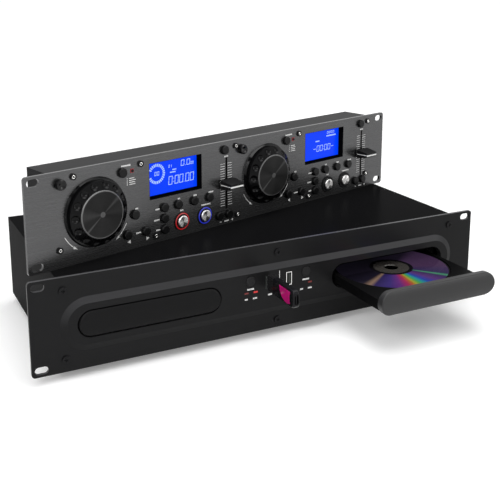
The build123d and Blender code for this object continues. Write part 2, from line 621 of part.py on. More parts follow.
# ---------------------------------------------------------------- rear sockets and power switch
rear_face = drive_face.offset(rear)
rocker_out = rear - INLET_FLANGE + ROCKER_AXIS_DEPTH
with BuildPart() as rear_sockets:
    blocks(rear_face, [inlet_spot], INLET_WIDTH, INLET_HEIGHT, 0, INLET_CAVITY_DEPTH + INLET_FLANGE)
    blocks(rear_face, [inlet_spot], INLET_WIDTH + 2 * INLET_FLANGE, INLET_HEIGHT + 2 * INLET_FLANGE,
           -INLET_FLANGE, 0)
    blocks(rear_face, [inlet_spot], INLET_CAVITY_WIDTH, INLET_CAVITY_HEIGHT, -INLET_FLANGE,
           INLET_CAVITY_DEPTH - INLET_FLANGE, Mode.SUBTRACT)
    pins = [(INLET_X + place * PIN_SPACING, REAR_Z + (PIN_HEIGHT / 2 if place == 0 else -PIN_HEIGHT / 4))
            for place in (-1, 0, 1)]
    blocks(rear_face, pins, PIN_WIDTH, PIN_HEIGHT, 0, INLET_CAVITY_DEPTH)
    blocks(rear_face, [switch_spot], SWITCH_WIDTH, SWITCH_HEIGHT, 0, INLET_CAVITY_DEPTH)
    blocks(rear_face, [switch_spot], SWITCH_WIDTH + 2 * INLET_FLANGE, SWITCH_HEIGHT + 2 * INLET_FLANGE,
           -INLET_FLANGE, 0)
    blocks(rear_face, [switch_spot], ROCKER_WIDTH + 2 * RUNNING_GAP, ROCKER_HEIGHT + 4 * RUNNING_GAP,
           -INLET_FLANGE, INLET_CAVITY_DEPTH - INLET_FLANGE, Mode.SUBTRACT)
    blocks(rear_face, [(JACK_X - JACK_SPACING_X / 2, REAR_Z), (JACK_X + JACK_SPACING_X / 2, REAR_Z)],
           JACK_PLATE_WIDTH, JACK_PLATE_HEIGHT, -INLET_FLANGE / 2, 0)
    rods(rear_face, jack_spots, JACK_RADIUS, -JACK_PROUD, INLET_CAVITY_DEPTH)
    rods(rear_face, jack_spots, JACK_HOLE_RADIUS, -JACK_PROUD, 0, Mode.SUBTRACT)
    blocks(rear_face, link_spots, LINK_PLATE_WIDTH, LINK_HEIGHT + 2 * INLET_FLANGE, -INLET_FLANGE / 2, 0)
    blocks(rear_face, link_spots, LINK_WIDTH, LINK_HEIGHT, -LINK_PROUD, INLET_CAVITY_DEPTH)
save(rear_sockets.part, "rear_sockets")

with BuildPart() as power_rocker:
    with BuildSketch(upright_plane(SWITCH_X)) as rocker_outline:
        with Locations((rocker_out, REAR_Z)):
            Circle(ROCKER_RADIUS)
            Rectangle(2 * ROCKER_RADIUS, ROCKER_HEIGHT, mode=Mode.INTERSECT)
    extrude(rocker_outline.sketch, amount=ROCKER_WIDTH / 2, both=True)
save(power_rocker.part, "power_rocker")

# ================================================================ control unit
small_spots = {
    f"button_{name}_{deck}": on_deck(deck, spot)
    for deck in DECKS
    for name, spot in SMALL_BUTTONS.items()
}
metal_spots = {
    f"button_{name}_{deck}": on_deck(deck, spot)
    for deck in DECKS
    for name, spot in METAL_BUTTONS.items()
}
jog_spots = [on_deck(deck, JOG_SPOT) for deck in DECKS]
knob_spots = [on_deck(deck, KNOB_SPOT) for deck in DECKS]
window_spots = [on_deck(deck, WINDOW_SPOT) for deck in DECKS]
fader_spots = [on_deck(deck, FADER_SPOT) for deck in DECKS]
lamp_spots = [on_deck(deck, LAMP_SPOT) for deck in DECKS]
ring_inside = METAL_BUTTON_RADIUS + RUNNING_GAP
housing_back = -HOUSING_DEPTH
board_front = -CONTROL_BOARD_SETBACK
board_back = board_front - BOARD_THICKNESS
board_z = HOUSING_HEIGHT / 2
well_front = -PANEL_THICKNESS
display_front = -DISPLAY_SETBACK
display_back = display_front - DISPLAY_THICKNESS
link_control_spots = [(-LINK_SPACING / 2, board_z), (LINK_SPACING / 2, board_z)]

with BuildPart() as control_front_panel:
    rack_panel(control_face)
    blocks(control_face, window_spots, WINDOW_WIDTH, WINDOW_HEIGHT, -PANEL_THICKNESS, 0, Mode.SUBTRACT)
    rods(control_face, small_spots.values(), BUTTON_HOLE_RADIUS, -PANEL_THICKNESS, 0, Mode.SUBTRACT)
    rods(control_face, metal_spots.values(), ring_inside, -PANEL_THICKNESS, 0, Mode.SUBTRACT)
    rods(control_face, jog_spots, JOG_SHAFT_RADIUS + SHAFT_GAP, -PANEL_THICKNESS, 0, Mode.SUBTRACT)
    rods(control_face, knob_spots, KNOB_SHAFT_RADIUS + SHAFT_GAP, -PANEL_THICKNESS, 0, Mode.SUBTRACT)
    rods(control_face, lamp_spots, LAMP_RADIUS + SEAT_GAP, -PANEL_THICKNESS, 0, Mode.SUBTRACT)
    rods(control_face, CONTROL_SCREWS, SCREW_SHANK_RADIUS + SEAT_GAP, -PANEL_THICKNESS, 0, Mode.SUBTRACT)
    blocks(control_face, fader_spots, FADER_SLOT_WIDTH, FADER_SLOT_LENGTH, -PANEL_THICKNESS, 0,
           Mode.SUBTRACT)
save(control_front_panel.part, "control_front_panel")

with BuildPart() as control_housing:
    bar(control_face, -HOUSING_WIDTH / 2, HOUSING_WIDTH / 2, 0, HOUSING_HEIGHT, housing_back,
        -PANEL_THICKNESS)
    bar(control_face, SHEET - HOUSING_WIDTH / 2, HOUSING_WIDTH / 2 - SHEET, SHEET, HOUSING_HEIGHT - SHEET,
        housing_back + SHEET, -PANEL_THICKNESS, Mode.SUBTRACT)
    blocks(control_face, link_control_spots, LINK_WIDTH + 2 * SEAT_GAP, LINK_HEIGHT + 2 * SEAT_GAP,
           housing_back, housing_back + SHEET, Mode.SUBTRACT)
save(control_housing.part, "control_housing")

with BuildPart() as control_screws:
    panel_screws(control_face, CONTROL_SCREWS, SCREW_HEAD_RADIUS, SCREW_HEAD_HEIGHT)
    with BuildSketch(control_face.offset(SCREW_HEAD_HEIGHT)) as sockets:
        with Locations(*CONTROL_SCREWS):
            RegularPolygon(SCREW_SOCKET_RADIUS, 6)
    extrude(sockets.sketch, amount=-DRIVE_CROSS, mode=Mode.SUBTRACT)
save(control_screws.part, "control_screws")

with BuildPart() as jog_bezels:
    for spot in jog_spots:
        with BuildSketch(control_face) as foot_ring:
            with Locations(spot):
                Circle(JOG_BEZEL_RADIUS)
        with BuildSketch(control_face.offset(JOG_BEZEL_HEIGHT)) as top_ring:
            with Locations(spot):
                Circle(JOG_BEZEL_RADIUS - JOG_BEZEL_HEIGHT / 2)
        loft([foot_ring.sketch, top_ring.sketch], ruled=True)
    rods(control_face, jog_spots, JOG_RADIUS + RUNNING_GAP, 0, JOG_BEZEL_HEIGHT, Mode.SUBTRACT)
save(jog_bezels.part, "jog_bezels")

with BuildPart() as display_panels:
    blocks(control_face, window_spots, WINDOW_WIDTH + WELL_WALL, WINDOW_HEIGHT + WELL_WALL,
           display_back, display_front)
save(display_panels.part, "display_panels")

with BuildPart() as button_rings:
    rods(control_face, metal_spots.values(), ring_inside + RING_WALL, 0, RING_PROUD)
    rods(control_face, metal_spots.values(), ring_inside, 0, RING_PROUD, Mode.SUBTRACT)
save(button_rings.part, "button_rings")

with BuildPart() as control_board:
    bar(control_face, -CONTROL_BOARD_WIDTH / 2, CONTROL_BOARD_WIDTH / 2,
        board_z - CONTROL_BOARD_HEIGHT / 2, board_z + CONTROL_BOARD_HEIGHT / 2, board_back, board_front)
    blocks(control_face, small_spots.values(), SWITCH_BLOCK, SWITCH_BLOCK, board_front, SWITCH_FRONT)
    blocks(control_face, metal_spots.values(), SWITCH_BLOCK, SWITCH_BLOCK, board_front, SWITCH_FRONT)
    blocks(control_face, jog_spots + knob_spots, ENCODER_SIZE, ENCODER_SIZE, board_front,
           SWITCH_FRONT - BLADE_DEPTH)
    rods(control_face, lamp_spots, LAMP_RADIUS, board_front, LAMP_RADIUS / 2)
    blocks(control_face, fader_spots, FADER_BODY_WIDTH, FADER_BODY_LENGTH, board_front, -FADER_BODY_FRONT)
    blocks(control_face, fader_spots, FADER_SLOT_WIDTH, FADER_SLOT_LENGTH,
           -FADER_BODY_FRONT - BLADE_DEPTH - RUNNING_GAP, -FADER_BODY_FRONT, Mode.SUBTRACT)
    blocks(control_face, window_spots, WINDOW_WIDTH + 3 * WELL_WALL, WINDOW_HEIGHT + 3 * WELL_WALL,
           board_front, well_front)
    blocks(control_face, window_spots, WINDOW_WIDTH + WELL_WALL, WINDOW_HEIGHT + WELL_WALL,
           display_back, display_front, Mode.SUBTRACT)
    blocks(control_face, window_spots, WINDOW_WIDTH, WINDOW_HEIGHT, display_front, well_front, Mode.SUBTRACT)
    post_x = CONTROL_BOARD_WIDTH / 2 - POST_INSET
    rods(control_face, [(x, board_z) for x in (-post_x, 0, post_x)], POST_RADIUS,
         housing_back + SHEET, board_back)
    blocks(control_face, link_control_spots, LINK_WIDTH, LINK_HEIGHT, housing_back - LINK_PROUD, board_back)
    blocks(control_face, link_control_spots, LINK_PLATE_WIDTH, LINK_HEIGHT + 2 * INLET_FLANGE,
           housing_back - INLET_FLANGE / 2, housing_back)
save(control_board.part, "control_board")


def make_button(spot, radius, proud):
    """Builds a push button with a domed cap and the retaining flange behind its hole."""
    with BuildPart() as button:
        rods(control_face, [spot], radius, RETAINER_FRONT, proud)
        fillet(button.edges().filter_by(GeomType.CIRCLE).sort_by(Axis.Y)[0], BUTTON_DOME)
        rods(control_face, [spot], radius + RUNNING_GAP + RETAINER_LIP, RETAINER_BACK, RETAINER_FRONT)
    return button.part


for name, spot in small_spots.items():
    save(make_button(spot, BUTTON_RADIUS, BUTTON_PROUD), name)
for name, spot in metal_spots.items():
    save(make_button(spot, METAL_BUTTON_RADIUS, METAL_BUTTON_PROUD), name)


def turning_plane(spot):
    """Returns a plane through a spot's axis, x away from the axis and y out of the panel."""
    centre = control_face.from_local_coords(Vector(spot[0], spot[1], 0))
    return Plane(origin=centre, x_dir=control_face.x_dir, z_dir=(0, 0, -1))


def make_jog(spot):
    """Builds a jog wheel: rim, bevel with finger dimples, flat face and shaft."""
    turning = turning_plane(spot)
    bevel_width = JOG_RADIUS - JOG_FACE_RADIUS - JOG_EDGE
    bevel_rise = JOG_HEIGHT - JOG_RIM_HEIGHT - JOG_EDGE
    slope = atan2(bevel_rise, bevel_width)
    dimple_out = JOG_RIM_HEIGHT + (JOG_RADIUS - DIMPLE_PITCH_RADIUS) * bevel_rise / bevel_width
    ball_lift = sqrt(DIMPLE_BALL**2 - DIMPLE_RADIUS**2)
    ball_out = dimple_out + cos(slope) * ball_lift
    with BuildPart() as jog:
        with BuildSketch(turning) as profile:
            with BuildLine():
                Polyline(
                    (0, -FADER_BODY_FRONT), (JOG_SHAFT_RADIUS, -FADER_BODY_FRONT),
                    (JOG_SHAFT_RADIUS, JOG_FOOT), (JOG_RADIUS, JOG_FOOT), (JOG_RADIUS, JOG_RIM_HEIGHT),
                    (JOG_FACE_RADIUS + JOG_EDGE, JOG_HEIGHT - JOG_EDGE), (JOG_FACE_RADIUS, JOG_HEIGHT),
                    (0, JOG_HEIGHT), close=True,
                )
            make_face()
        revolve(profile.sketch, axis=Axis(turning.origin, turning.y_dir))
        with Locations(control_face.offset(ball_out).location * Location((*spot, 0))):
            with PolarLocations(DIMPLE_PITCH_RADIUS + sin(slope) * ball_lift, DIMPLE_COUNT):
                Sphere(DIMPLE_BALL, mode=Mode.SUBTRACT)
    return jog.part


def make_knob(spot):
    """Builds a track knob with grip grooves and its shaft."""
    turning = turning_plane(spot)
    with BuildPart() as knob:
        rods(control_face, [spot], KNOB_RADIUS, KNOB_FOOT, KNOB_HEIGHT)
        fillet(knob.edges().filter_by(GeomType.CIRCLE).sort_by(Axis.Y)[0], BUTTON_DOME)
        with BuildSketch(control_face.offset(KNOB_FOOT)) as grips:
            with Locations(spot):
                with PolarLocations(KNOB_RADIUS, KNOB_GRIPS):
                    Circle(KNOB_GRIP_RADIUS)
        extrude(grips.sketch, amount=KNOB_HEIGHT - 2 * BUTTON_DOME, mode=Mode.SUBTRACT)
        rods(control_face, [spot], KNOB_SHAFT_RADIUS, -FADER_BODY_FRONT, KNOB_FOOT)
    return knob.part


for deck in DECKS:
    save(make_jog(on_deck(deck, JOG_SPOT)), f"jog_wheel_{deck}")
    save(make_knob(on_deck(deck, KNOB_SPOT)), f"track_knob_{deck}")


def make_fader_cap(spot):
    """Builds a wedge-shaped fader cap with the blade that passes through the panel's slot."""
    with BuildPart() as cap:
        with BuildSketch(control_face.offset(FADER_CAP_LIFT)) as foot:
            with Locations(spot):
                Rectangle(FADER_CAP_WIDTH, FADER_CAP_FOOT)
        with BuildSketch(control_face.offset(FADER_CAP_HEIGHT)) as tip:
            with Locations(spot):
                Rectangle(FADER_CAP_WIDTH - FADER_CAP_DRAFT, FADER_CAP_TIP)
        loft([foot.sketch, tip.sketch], ruled=True)
        blocks(control_face, [spot], FADER_BLADE_WIDTH, FADER_BLADE_HEIGHT,
               -FADER_BODY_FRONT - BLADE_DEPTH, FADER_CAP_LIFT)
    return cap.part


for deck in DECKS:
    save(make_fader_cap(on_deck(deck, FADER_SPOT)), f"fader_cap_{deck}")
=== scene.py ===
"""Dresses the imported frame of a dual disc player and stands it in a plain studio."""
import logging
import math
from dataclasses import dataclass, field
from enum import Enum
from typing import Iterable, Sequence

import bmesh
import bpy
from mathutils import Matrix, Vector


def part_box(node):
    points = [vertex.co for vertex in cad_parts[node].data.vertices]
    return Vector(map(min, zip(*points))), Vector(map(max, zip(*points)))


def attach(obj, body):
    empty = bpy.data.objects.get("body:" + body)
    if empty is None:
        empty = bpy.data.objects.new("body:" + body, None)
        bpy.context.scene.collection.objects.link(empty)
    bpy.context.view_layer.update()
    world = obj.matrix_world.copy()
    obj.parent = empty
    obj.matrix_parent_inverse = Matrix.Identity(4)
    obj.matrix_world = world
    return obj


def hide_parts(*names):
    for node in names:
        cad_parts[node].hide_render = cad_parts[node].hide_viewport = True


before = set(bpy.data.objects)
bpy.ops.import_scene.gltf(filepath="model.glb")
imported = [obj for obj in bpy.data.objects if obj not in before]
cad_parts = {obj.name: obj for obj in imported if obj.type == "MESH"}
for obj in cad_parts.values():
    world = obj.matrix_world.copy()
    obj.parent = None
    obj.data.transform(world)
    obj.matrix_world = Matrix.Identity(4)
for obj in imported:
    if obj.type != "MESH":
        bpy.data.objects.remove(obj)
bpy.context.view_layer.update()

LOG = logging.getLogger("disc_player")
MM = 0.001
Spot = tuple[float, float]
Point = tuple[float, float, float]
Colour = tuple[float, float, float]


# -------------------------------------------------------------------------------- places
@dataclass(frozen=True)
class PanelPlace:
    """A front panel's own axes: x along the panel, y up from its lower edge, z out to the user."""

    origin: Point
    yaw: float

    def matrix(self) -> Matrix:
        """Gives the transform from panel millimetres to row metres.

        Returns:
            The transform as a 4 by 4 matrix.
        """
        c, s = math.cos(math.radians(self.yaw)), math.sin(math.radians(self.yaw))
        axes = Matrix(((c, 0, s, 0), (s, 0, -c, 0), (0, 1, 0, 0), (0, 0, 0, 1)))
        return Matrix.Translation(Vector(self.origin) * MM) @ Matrix.Scale(MM, 4) @ axes

    def point(self, x: float, y: float, out: float = 0.0) -> Vector:
        """Gives a panel point in the row frame.

        Args:
            x: Distance along the panel from its middle, in mm.
            y: Height above the panel's lower edge, in mm.
            out: Distance in front of the panel, in mm.

        Returns:
            The point in metres.
        """
        return self.matrix() @ Vector((x, y, out))


DRIVE_PANEL = PanelPlace(origin=(0.0, -64.2, 8.5), yaw=0.0)
CONTROL_PANEL = PanelPlace(origin=(-3.5, 20.4, 95.1), yaw=16.0)


class Deck(Enum):
    """The two halves of the control panel, by the middle of each along the panel in mm."""

    LEFT = -107.4
    RIGHT = 107.4

    @property
    def letter(self) -> str:
        """Gives the letter that ends the deck's node names."""
        return "a" if self is Deck.LEFT else "b"

    def at(self, x: float, y: float) -> Spot:
        """Gives a spot counted from the deck's middle as a spot on the panel.

        Args:
            x: Distance from the deck's middle, in mm.
            y: Height above the panel's lower edge, in mm.

        Returns:
            The spot on the panel.
        """
        return (self.value + x, y)


# -------------------------------------------------------------------------------- shader nodes
class NodeSheet:
    """A node tree that is being filled in."""

    def __init__(self, tree: bpy.types.NodeTree) -> None:
        """Keeps the tree to add to.

        Args:
            tree: The tree to add to.
        """
        self.tree = tree

    def add(self, kind: str, inputs: dict | None = None, **settings) -> bpy.types.Node:
        """Adds one node.

        Args:
            kind: The node's type name.
            inputs: Values or output sockets for the node's inputs, by name or index.
            **settings: Properties of the node itself.

        Returns:
            The new node.
        """
        node = self.tree.nodes.new(kind)
        for name, value in settings.items():
            setattr(node, name, value)
        for name, value in (inputs or {}).items():
            if isinstance(value, bpy.types.NodeSocket):
                self.tree.links.new(value, node.inputs[name])
            else:
                node.inputs[name].default_value = value
        return node

    def maths(self, operation: str, *values) -> bpy.types.NodeSocket:
        """Adds a Math node.

        Args:
            operation: The node's operation.
            *values: Its numbers or sockets, in order.

        Returns:
            The node's result.
        """
        node = self.add("ShaderNodeMath", dict(enumerate(values)), operation=operation)
        return node.outputs[0]

    def vector(self, operation: str, *values) -> bpy.types.Node:
        """Adds a Vector Math node.

        Args:
            operation: The node's operation.
            *values: Its vectors or sockets, in order.

        Returns:
            The node.
        """
        return self.add("ShaderNodeVectorMath", dict(enumerate(values)), operation=operation)

    def ramp(self, factor: bpy.types.NodeSocket, stops: Sequence[tuple[float, Sequence[float]]],
             easing: str = "LINEAR") -> bpy.types.NodeSocket:
        """Adds a colour ramp.

        Args:
            factor: The socket that drives the ramp.
            stops: Position and RGB colour of each stop.
            easing: How the ramp runs between its stops.

        Returns:
            The ramp's colour.
        """
        node = self.add("ShaderNodeValToRGB", {"Fac": factor})
        node.color_ramp.interpolation = easing
        elements = node.color_ramp.elements
        while len(elements) < len(stops):
            elements.new(0.5)
        for element, (position, colour) in zip(elements, stops):
            element.position = position
            element.color = (*colour, 1.0)
        return node.outputs["Color"]

    def mixed(self, factor, first, second) -> bpy.types.NodeSocket:
        """Adds a colour mix.

        Args:
            factor: Share of the second colour.
            first: The first colour or socket.
            second: The second colour or socket.

        Returns:
            The mixed colour.
        """
        node = self.add("ShaderNodeMix", data_type="RGBA")
        for index, value in ((0, factor), (6, first), (7, second)):
            if isinstance(value, bpy.types.NodeSocket):
                self.tree.links.new(value, node.inputs[index])
            elif index == 0:
                node.inputs[index].default_value = value
            else:
                node.inputs[index].default_value = (*value, 1.0)
        return node.outputs[2]


GroupParts = tuple[bpy.types.NodeTree, NodeSheet, bpy.types.Node, bpy.types.Node]


def new_group(name: str, inputs: Sequence[tuple[str, str, object]], outputs: Sequence[tuple[str, str]],
              kind: str = "ShaderNodeTree") -> GroupParts:
    """Makes an empty node group with its named sockets.

    Args:
        name: The group's name.
        inputs: Name, socket type and default of each input.
        outputs: Name and socket type of each output.
        kind: The kind of node tree.

    Returns:
        The group, a sheet to fill it in, its input node and its output node.
    """
    tree = bpy.data.node_groups.new(name, kind)
    for label, socket_type, default in inputs:
        socket = tree.interface.new_socket(label, in_out="INPUT", socket_type=socket_type)
        if default is not None:
            socket.default_value = default
    for label, socket_type in outputs:
        tree.interface.new_socket(label, in_out="OUTPUT", socket_type=socket_type)
    sheet = NodeSheet(tree)
    return tree, sheet, sheet.add("NodeGroupInput"), sheet.add("NodeGroupOutput")


class SurfaceEffects:
    """Shader groups that several finishes share."""

    def __init__(self) -> None:
        """Builds each group once."""
        self.mottle = self._mottle()
        self.grain = self._grain()
        self.brushing = self._brushing()
        self.radial = self._radial()

    @staticmethod
    def _mottle() -> bpy.types.NodeTree:
        """Builds the slow, cloudy change in tone and gloss that handling and dust leave on a finish.

        Returns:
            The group: Scale and Amount in, a factor round 1 out.
        """
        tree, sheet, given, result = new_group(
            "handling_mottle",
            [("Scale", "NodeSocketFloat", 20.0), ("Amount", "NodeSocketFloat", 0.2)],
            [("Factor", "NodeSocketFloat")])
        place = sheet.add("ShaderNodeTexCoord")
        cloud = sheet.add("ShaderNodeTexNoise", {"Vector": place.outputs["Object"],
                                                "Scale": given.outputs["Scale"], "Detail": 3.0,
                                                "Roughness": 0.55})
        swing = sheet.maths("MULTIPLY", sheet.maths("SUBTRACT", cloud.outputs["Fac"], 0.5), 2.0)
        factor = sheet.maths("ADD", sheet.maths("MULTIPLY", swing, given.outputs["Amount"]), 1.0)
        tree.links.new(factor, result.inputs["Factor"])
        return tree

    @staticmethod
    def _grain() -> bpy.types.NodeTree:
        """Builds the fine pebbled grain of powder paint and moulded plastic.

        Returns:
            The group: Scale in, a height and a speck mask out.
        """
        tree, sheet, given, result = new_group(
            "pebbled_grain", [("Scale", "NodeSocketFloat", 1500.0)],
            [("Height", "NodeSocketFloat"), ("Specks", "NodeSocketFloat")])
        place = sheet.add("ShaderNodeTexCoord")
        pebbles = sheet.add("ShaderNodeTexVoronoi", {"Vector": place.outputs["Object"],
                                                     "Scale": given.outputs["Scale"]})
        noise = sheet.add("ShaderNodeTexNoise", {"Vector": place.outputs["Object"],
                                                "Scale": given.outputs["Scale"], "Detail": 2.0})
        height = sheet.maths("MULTIPLY", pebbles.outputs["Distance"], noise.outputs["Fac"])
        specks = sheet.add("ShaderNodeMapRange", {"Value": noise.outputs["Fac"], "From Min": 0.62,
                                                 "From Max": 0.75})
        tree.links.new(height, result.inputs["Height"])
        tree.links.new(specks.outputs[0], result.inputs["Specks"])
        return tree

    @staticmethod
    def _brushing() -> bpy.types.NodeTree:
        """Builds long fine scratches along one level direction, as on brushed sheet.

        Returns:
            The group: Yaw and Scale in, a height and a tone out.
        """
        tree, sheet, given, result = new_group(
            "straight_brushing",
            [("Yaw", "NodeSocketFloat", 0.0), ("Scale", "NodeSocketFloat", 900.0)],
            [("Height", "NodeSocketFloat"), ("Tone", "NodeSocketFloat")])
        place = sheet.add("ShaderNodeTexCoord")
        turn = sheet.add("ShaderNodeCombineXYZ", {"Z": given.outputs["Yaw"]})
        along = sheet.add("ShaderNodeMapping", {"Vector": place.outputs["Object"],
                                               "Rotation": turn.outputs[0]})
        long = sheet.vector("MULTIPLY", along.outputs[0], (0.03, 1.0, 1.0))
        lines = sheet.add("ShaderNodeTexNoise", {"Vector": long.outputs[0], "Scale": given.outputs["Scale"],
                                                "Detail": 4.0, "Roughness": 0.7})
        tone = sheet.add("ShaderNodeMapRange", {"Value": lines.outputs["Fac"], "From Min": 0.3,
                                               "From Max": 0.7, "To Min": 0.94, "To Max": 1.06})
        tree.links.new(lines.outputs["Fac"], result.inputs["Height"])
        tree.links.new(tone.outputs[0], result.inputs["Tone"])
        return tree

    @staticmethod
    def _radial() -> bpy.types.NodeTree:
        """Builds the distance, turn and out-distance of a surface point from an axis square to a panel.

        Returns:
            The group: Centre (metres) and Yaw (radians) in; Radius and Out in metres, Angle in radians and
            the Tangent round the axis out.
        """
        tree, sheet, given, result = new_group(
            "round_an_axis",
            [("Centre", "NodeSocketVector", (0.0, 0.0, 0.0)), ("Yaw", "NodeSocketFloat", 0.0)],
            [("Radius", "NodeSocketFloat"), ("Angle", "NodeSocketFloat"), ("Out", "NodeSocketFloat"),
             ("Tangent", "NodeSocketVector")])
        place = sheet.add("ShaderNodeTexCoord")
        offset = sheet.vector("SUBTRACT", place.outputs["Object"], given.outputs["Centre"])
        back = sheet.maths("MULTIPLY", given.outputs["Yaw"], -1.0)
        flat = sheet.add("ShaderNodeVectorRotate", {"Vector": offset.outputs[0], "Angle": back},
                         rotation_type="Z_AXIS")
        parts = sheet.add("ShaderNodeSeparateXYZ", {"Vector": flat.outputs[0]})
        x, y, z = parts.outputs
        radius = sheet.maths("SQRT", sheet.maths("ADD", sheet.maths("MULTIPLY", x, x),
                                                 sheet.maths("MULTIPLY", z, z)))
        angle = sheet.maths("ARCTAN2", z, x)
        tangent = sheet.add("ShaderNodeCombineXYZ", {"X": sheet.maths("MULTIPLY", z, -1.0), "Z": x})
        turned = sheet.add("ShaderNodeVectorRotate", {"Vector": tangent.outputs[0],
                                                     "Angle": given.outputs["Yaw"]}, rotation_type="Z_AXIS")
        unit = sheet.vector("NORMALIZE", turned.outputs[0])
        tree.links.new(radius, result.inputs["Radius"])
        tree.links.new(angle, result.inputs["Angle"])
        tree.links.new(sheet.maths("MULTIPLY", y, -1.0), result.inputs["Out"])
        tree.links.new(unit.outputs[0], result.inputs["Tangent"])
        return tree

    @staticmethod
    def place(sheet: NodeSheet, group: bpy.types.NodeTree, **inputs) -> bpy.types.Node:
        """Places one of the groups in a material.

        Args:
            sheet: The material's sheet.
            group: The group to place.
            **inputs: Its input values or sockets by name.

        Returns:
            The group node.
        """
        node = sheet.add("ShaderNodeGroup", node_tree=group)
        for name, value in inputs.items():
            if isinstance(value, bpy.types.NodeSocket):
                sheet.tree.links.new(value, node.inputs[name])
            else:
                node.inputs[name].default_value = value
        return node


EFFECTS = SurfaceEffects()


# -------------------------------------------------------------------------------- finishes
def new_material(name: str) -> tuple[bpy.types.Material, NodeSheet, bpy.types.Node]:
    """Makes a material that holds one Principled shader.

    Args:
        name: The material's name.

    Returns:
        The material, a sheet to fill it in and the shader.
    """
    material = bpy.data.materials.new(name)
    material.use_nodes = True
    return material, NodeSheet(material.node_tree), material.node_tree.nodes["Principled BSDF"]


def raise_surface(sheet: NodeSheet, shader: bpy.types.Node, height: bpy.types.NodeSocket, strength: float,
                  distance: float) -> None:
    """Feeds a height into a shader's normal.

    Args:
        sheet: The material's sheet.
        shader: The Principled shader.
        height: The height to show.
        strength: Strength of the bump.
        distance: Depth of the bump in metres.
    """
    bump = sheet.add("ShaderNodeBump", {"Height": height, "Strength": strength, "Distance": distance})
    sheet.tree.links.new(bump.outputs[0], shader.inputs["Normal"])


def tinted(sheet: NodeSheet, colour: Colour, factor: bpy.types.NodeSocket) -> bpy.types.NodeSocket:
    """Multiplies a colour by a factor that changes over the surface.

    Args:
        sheet: The material's sheet.
        colour: The colour.
        factor: The factor, round 1.

    Returns:
        The changed colour.
    """
    return sheet.add("ShaderNodeVectorMath", {0: colour, "Scale": factor}, operation="SCALE").outputs[0]


@dataclass(frozen=True)
class GrainedFinish:
    """Powder paint, moulded plastic, lacquer or rubber with a fine grain and handling marks."""

    name: str
    colour: Colour
    roughness: float = 0.5
    specular: float = 0.5
    grain_scale: float = 1500.0
    grain_depth: float = 0.00004
    grain_strength: float = 0.3
    mottle_scale: float = 25.0
    mottle: float = 0.08

    def build(self) -> bpy.types.Material:
        """Builds the material.

        Returns:
            The material.
        """
        material, sheet, shader = new_material(self.name)
        cloud = EFFECTS.place(sheet, EFFECTS.mottle, Scale=self.mottle_scale, Amount=self.mottle)
        grain = EFFECTS.place(sheet, EFFECTS.grain, Scale=self.grain_scale)
        lifted = sheet.maths("MULTIPLY_ADD", grain.outputs["Specks"], 0.12, cloud.outputs["Factor"])
        sheet.tree.links.new(tinted(sheet, self.colour, lifted), shader.inputs["Base Color"])
        sheet.tree.links.new(sheet.maths("MULTIPLY", cloud.outputs["Factor"], self.roughness),
                             shader.inputs["Roughness"])
        shader.inputs["Specular IOR Level"].default_value = self.specular
        raise_surface(sheet, shader, grain.outputs["Height"], self.grain_strength, self.grain_depth)
        return material


@dataclass(frozen=True)
class BrushedFinish:
    """Brushed sheet, bare, anodised or painted, with painted light: its slopes that face up are given a
    lighter colour by a gain.
    """

    name: str
    colour: Colour
    yaw: float = 0.0
    roughness: float = 0.4
    metallic: float = 0.6
    specular: float = 0.5
    brush_scale: float = 900.0
    brush_strength: float = 0.12
    mottle: float = 0.06
    up_slope_painted_light_gain: float = 0.0

    def build(self) -> bpy.types.Material:
        """Builds the material.

        Returns:
            The material.
        """
        material, sheet, shader = new_material(self.name)
        cloud = EFFECTS.place(sheet, EFFECTS.mottle, Scale=12.0, Amount=self.mottle)
        brush = EFFECTS.place(sheet, EFFECTS.brushing, Yaw=-math.radians(self.yaw), Scale=self.brush_scale)
        worn = sheet.maths("MULTIPLY", brush.outputs["Tone"], cloud.outputs["Factor"])
        # Painted light: the colour of slopes that face up is made lighter by the up part of the world normal
        # times the gain.
        normal = sheet.add("ShaderNodeNewGeometry").outputs["Normal"]
        facing = sheet.add("ShaderNodeSeparateXYZ", {"Vector": normal})
        up_slope_painted_light = sheet.maths("MAXIMUM", facing.outputs[2], 0.0)
        tone = sheet.maths("MULTIPLY", worn, sheet.maths("MULTIPLY_ADD", up_slope_painted_light, self.up_slope_painted_light_gain, 1.0))
        sheet.tree.links.new(tinted(sheet, self.colour, tone), shader.inputs["Base Color"])
        sheet.tree.links.new(sheet.maths("MULTIPLY", worn, self.roughness), shader.inputs["Roughness"])
        shader.inputs["Metallic"].default_value = self.metallic
        shader.inputs["Specular IOR Level"].default_value = self.specular
        raise_surface(sheet, shader, brush.outputs["Height"], self.brush_strength, 0.00003)
        return material


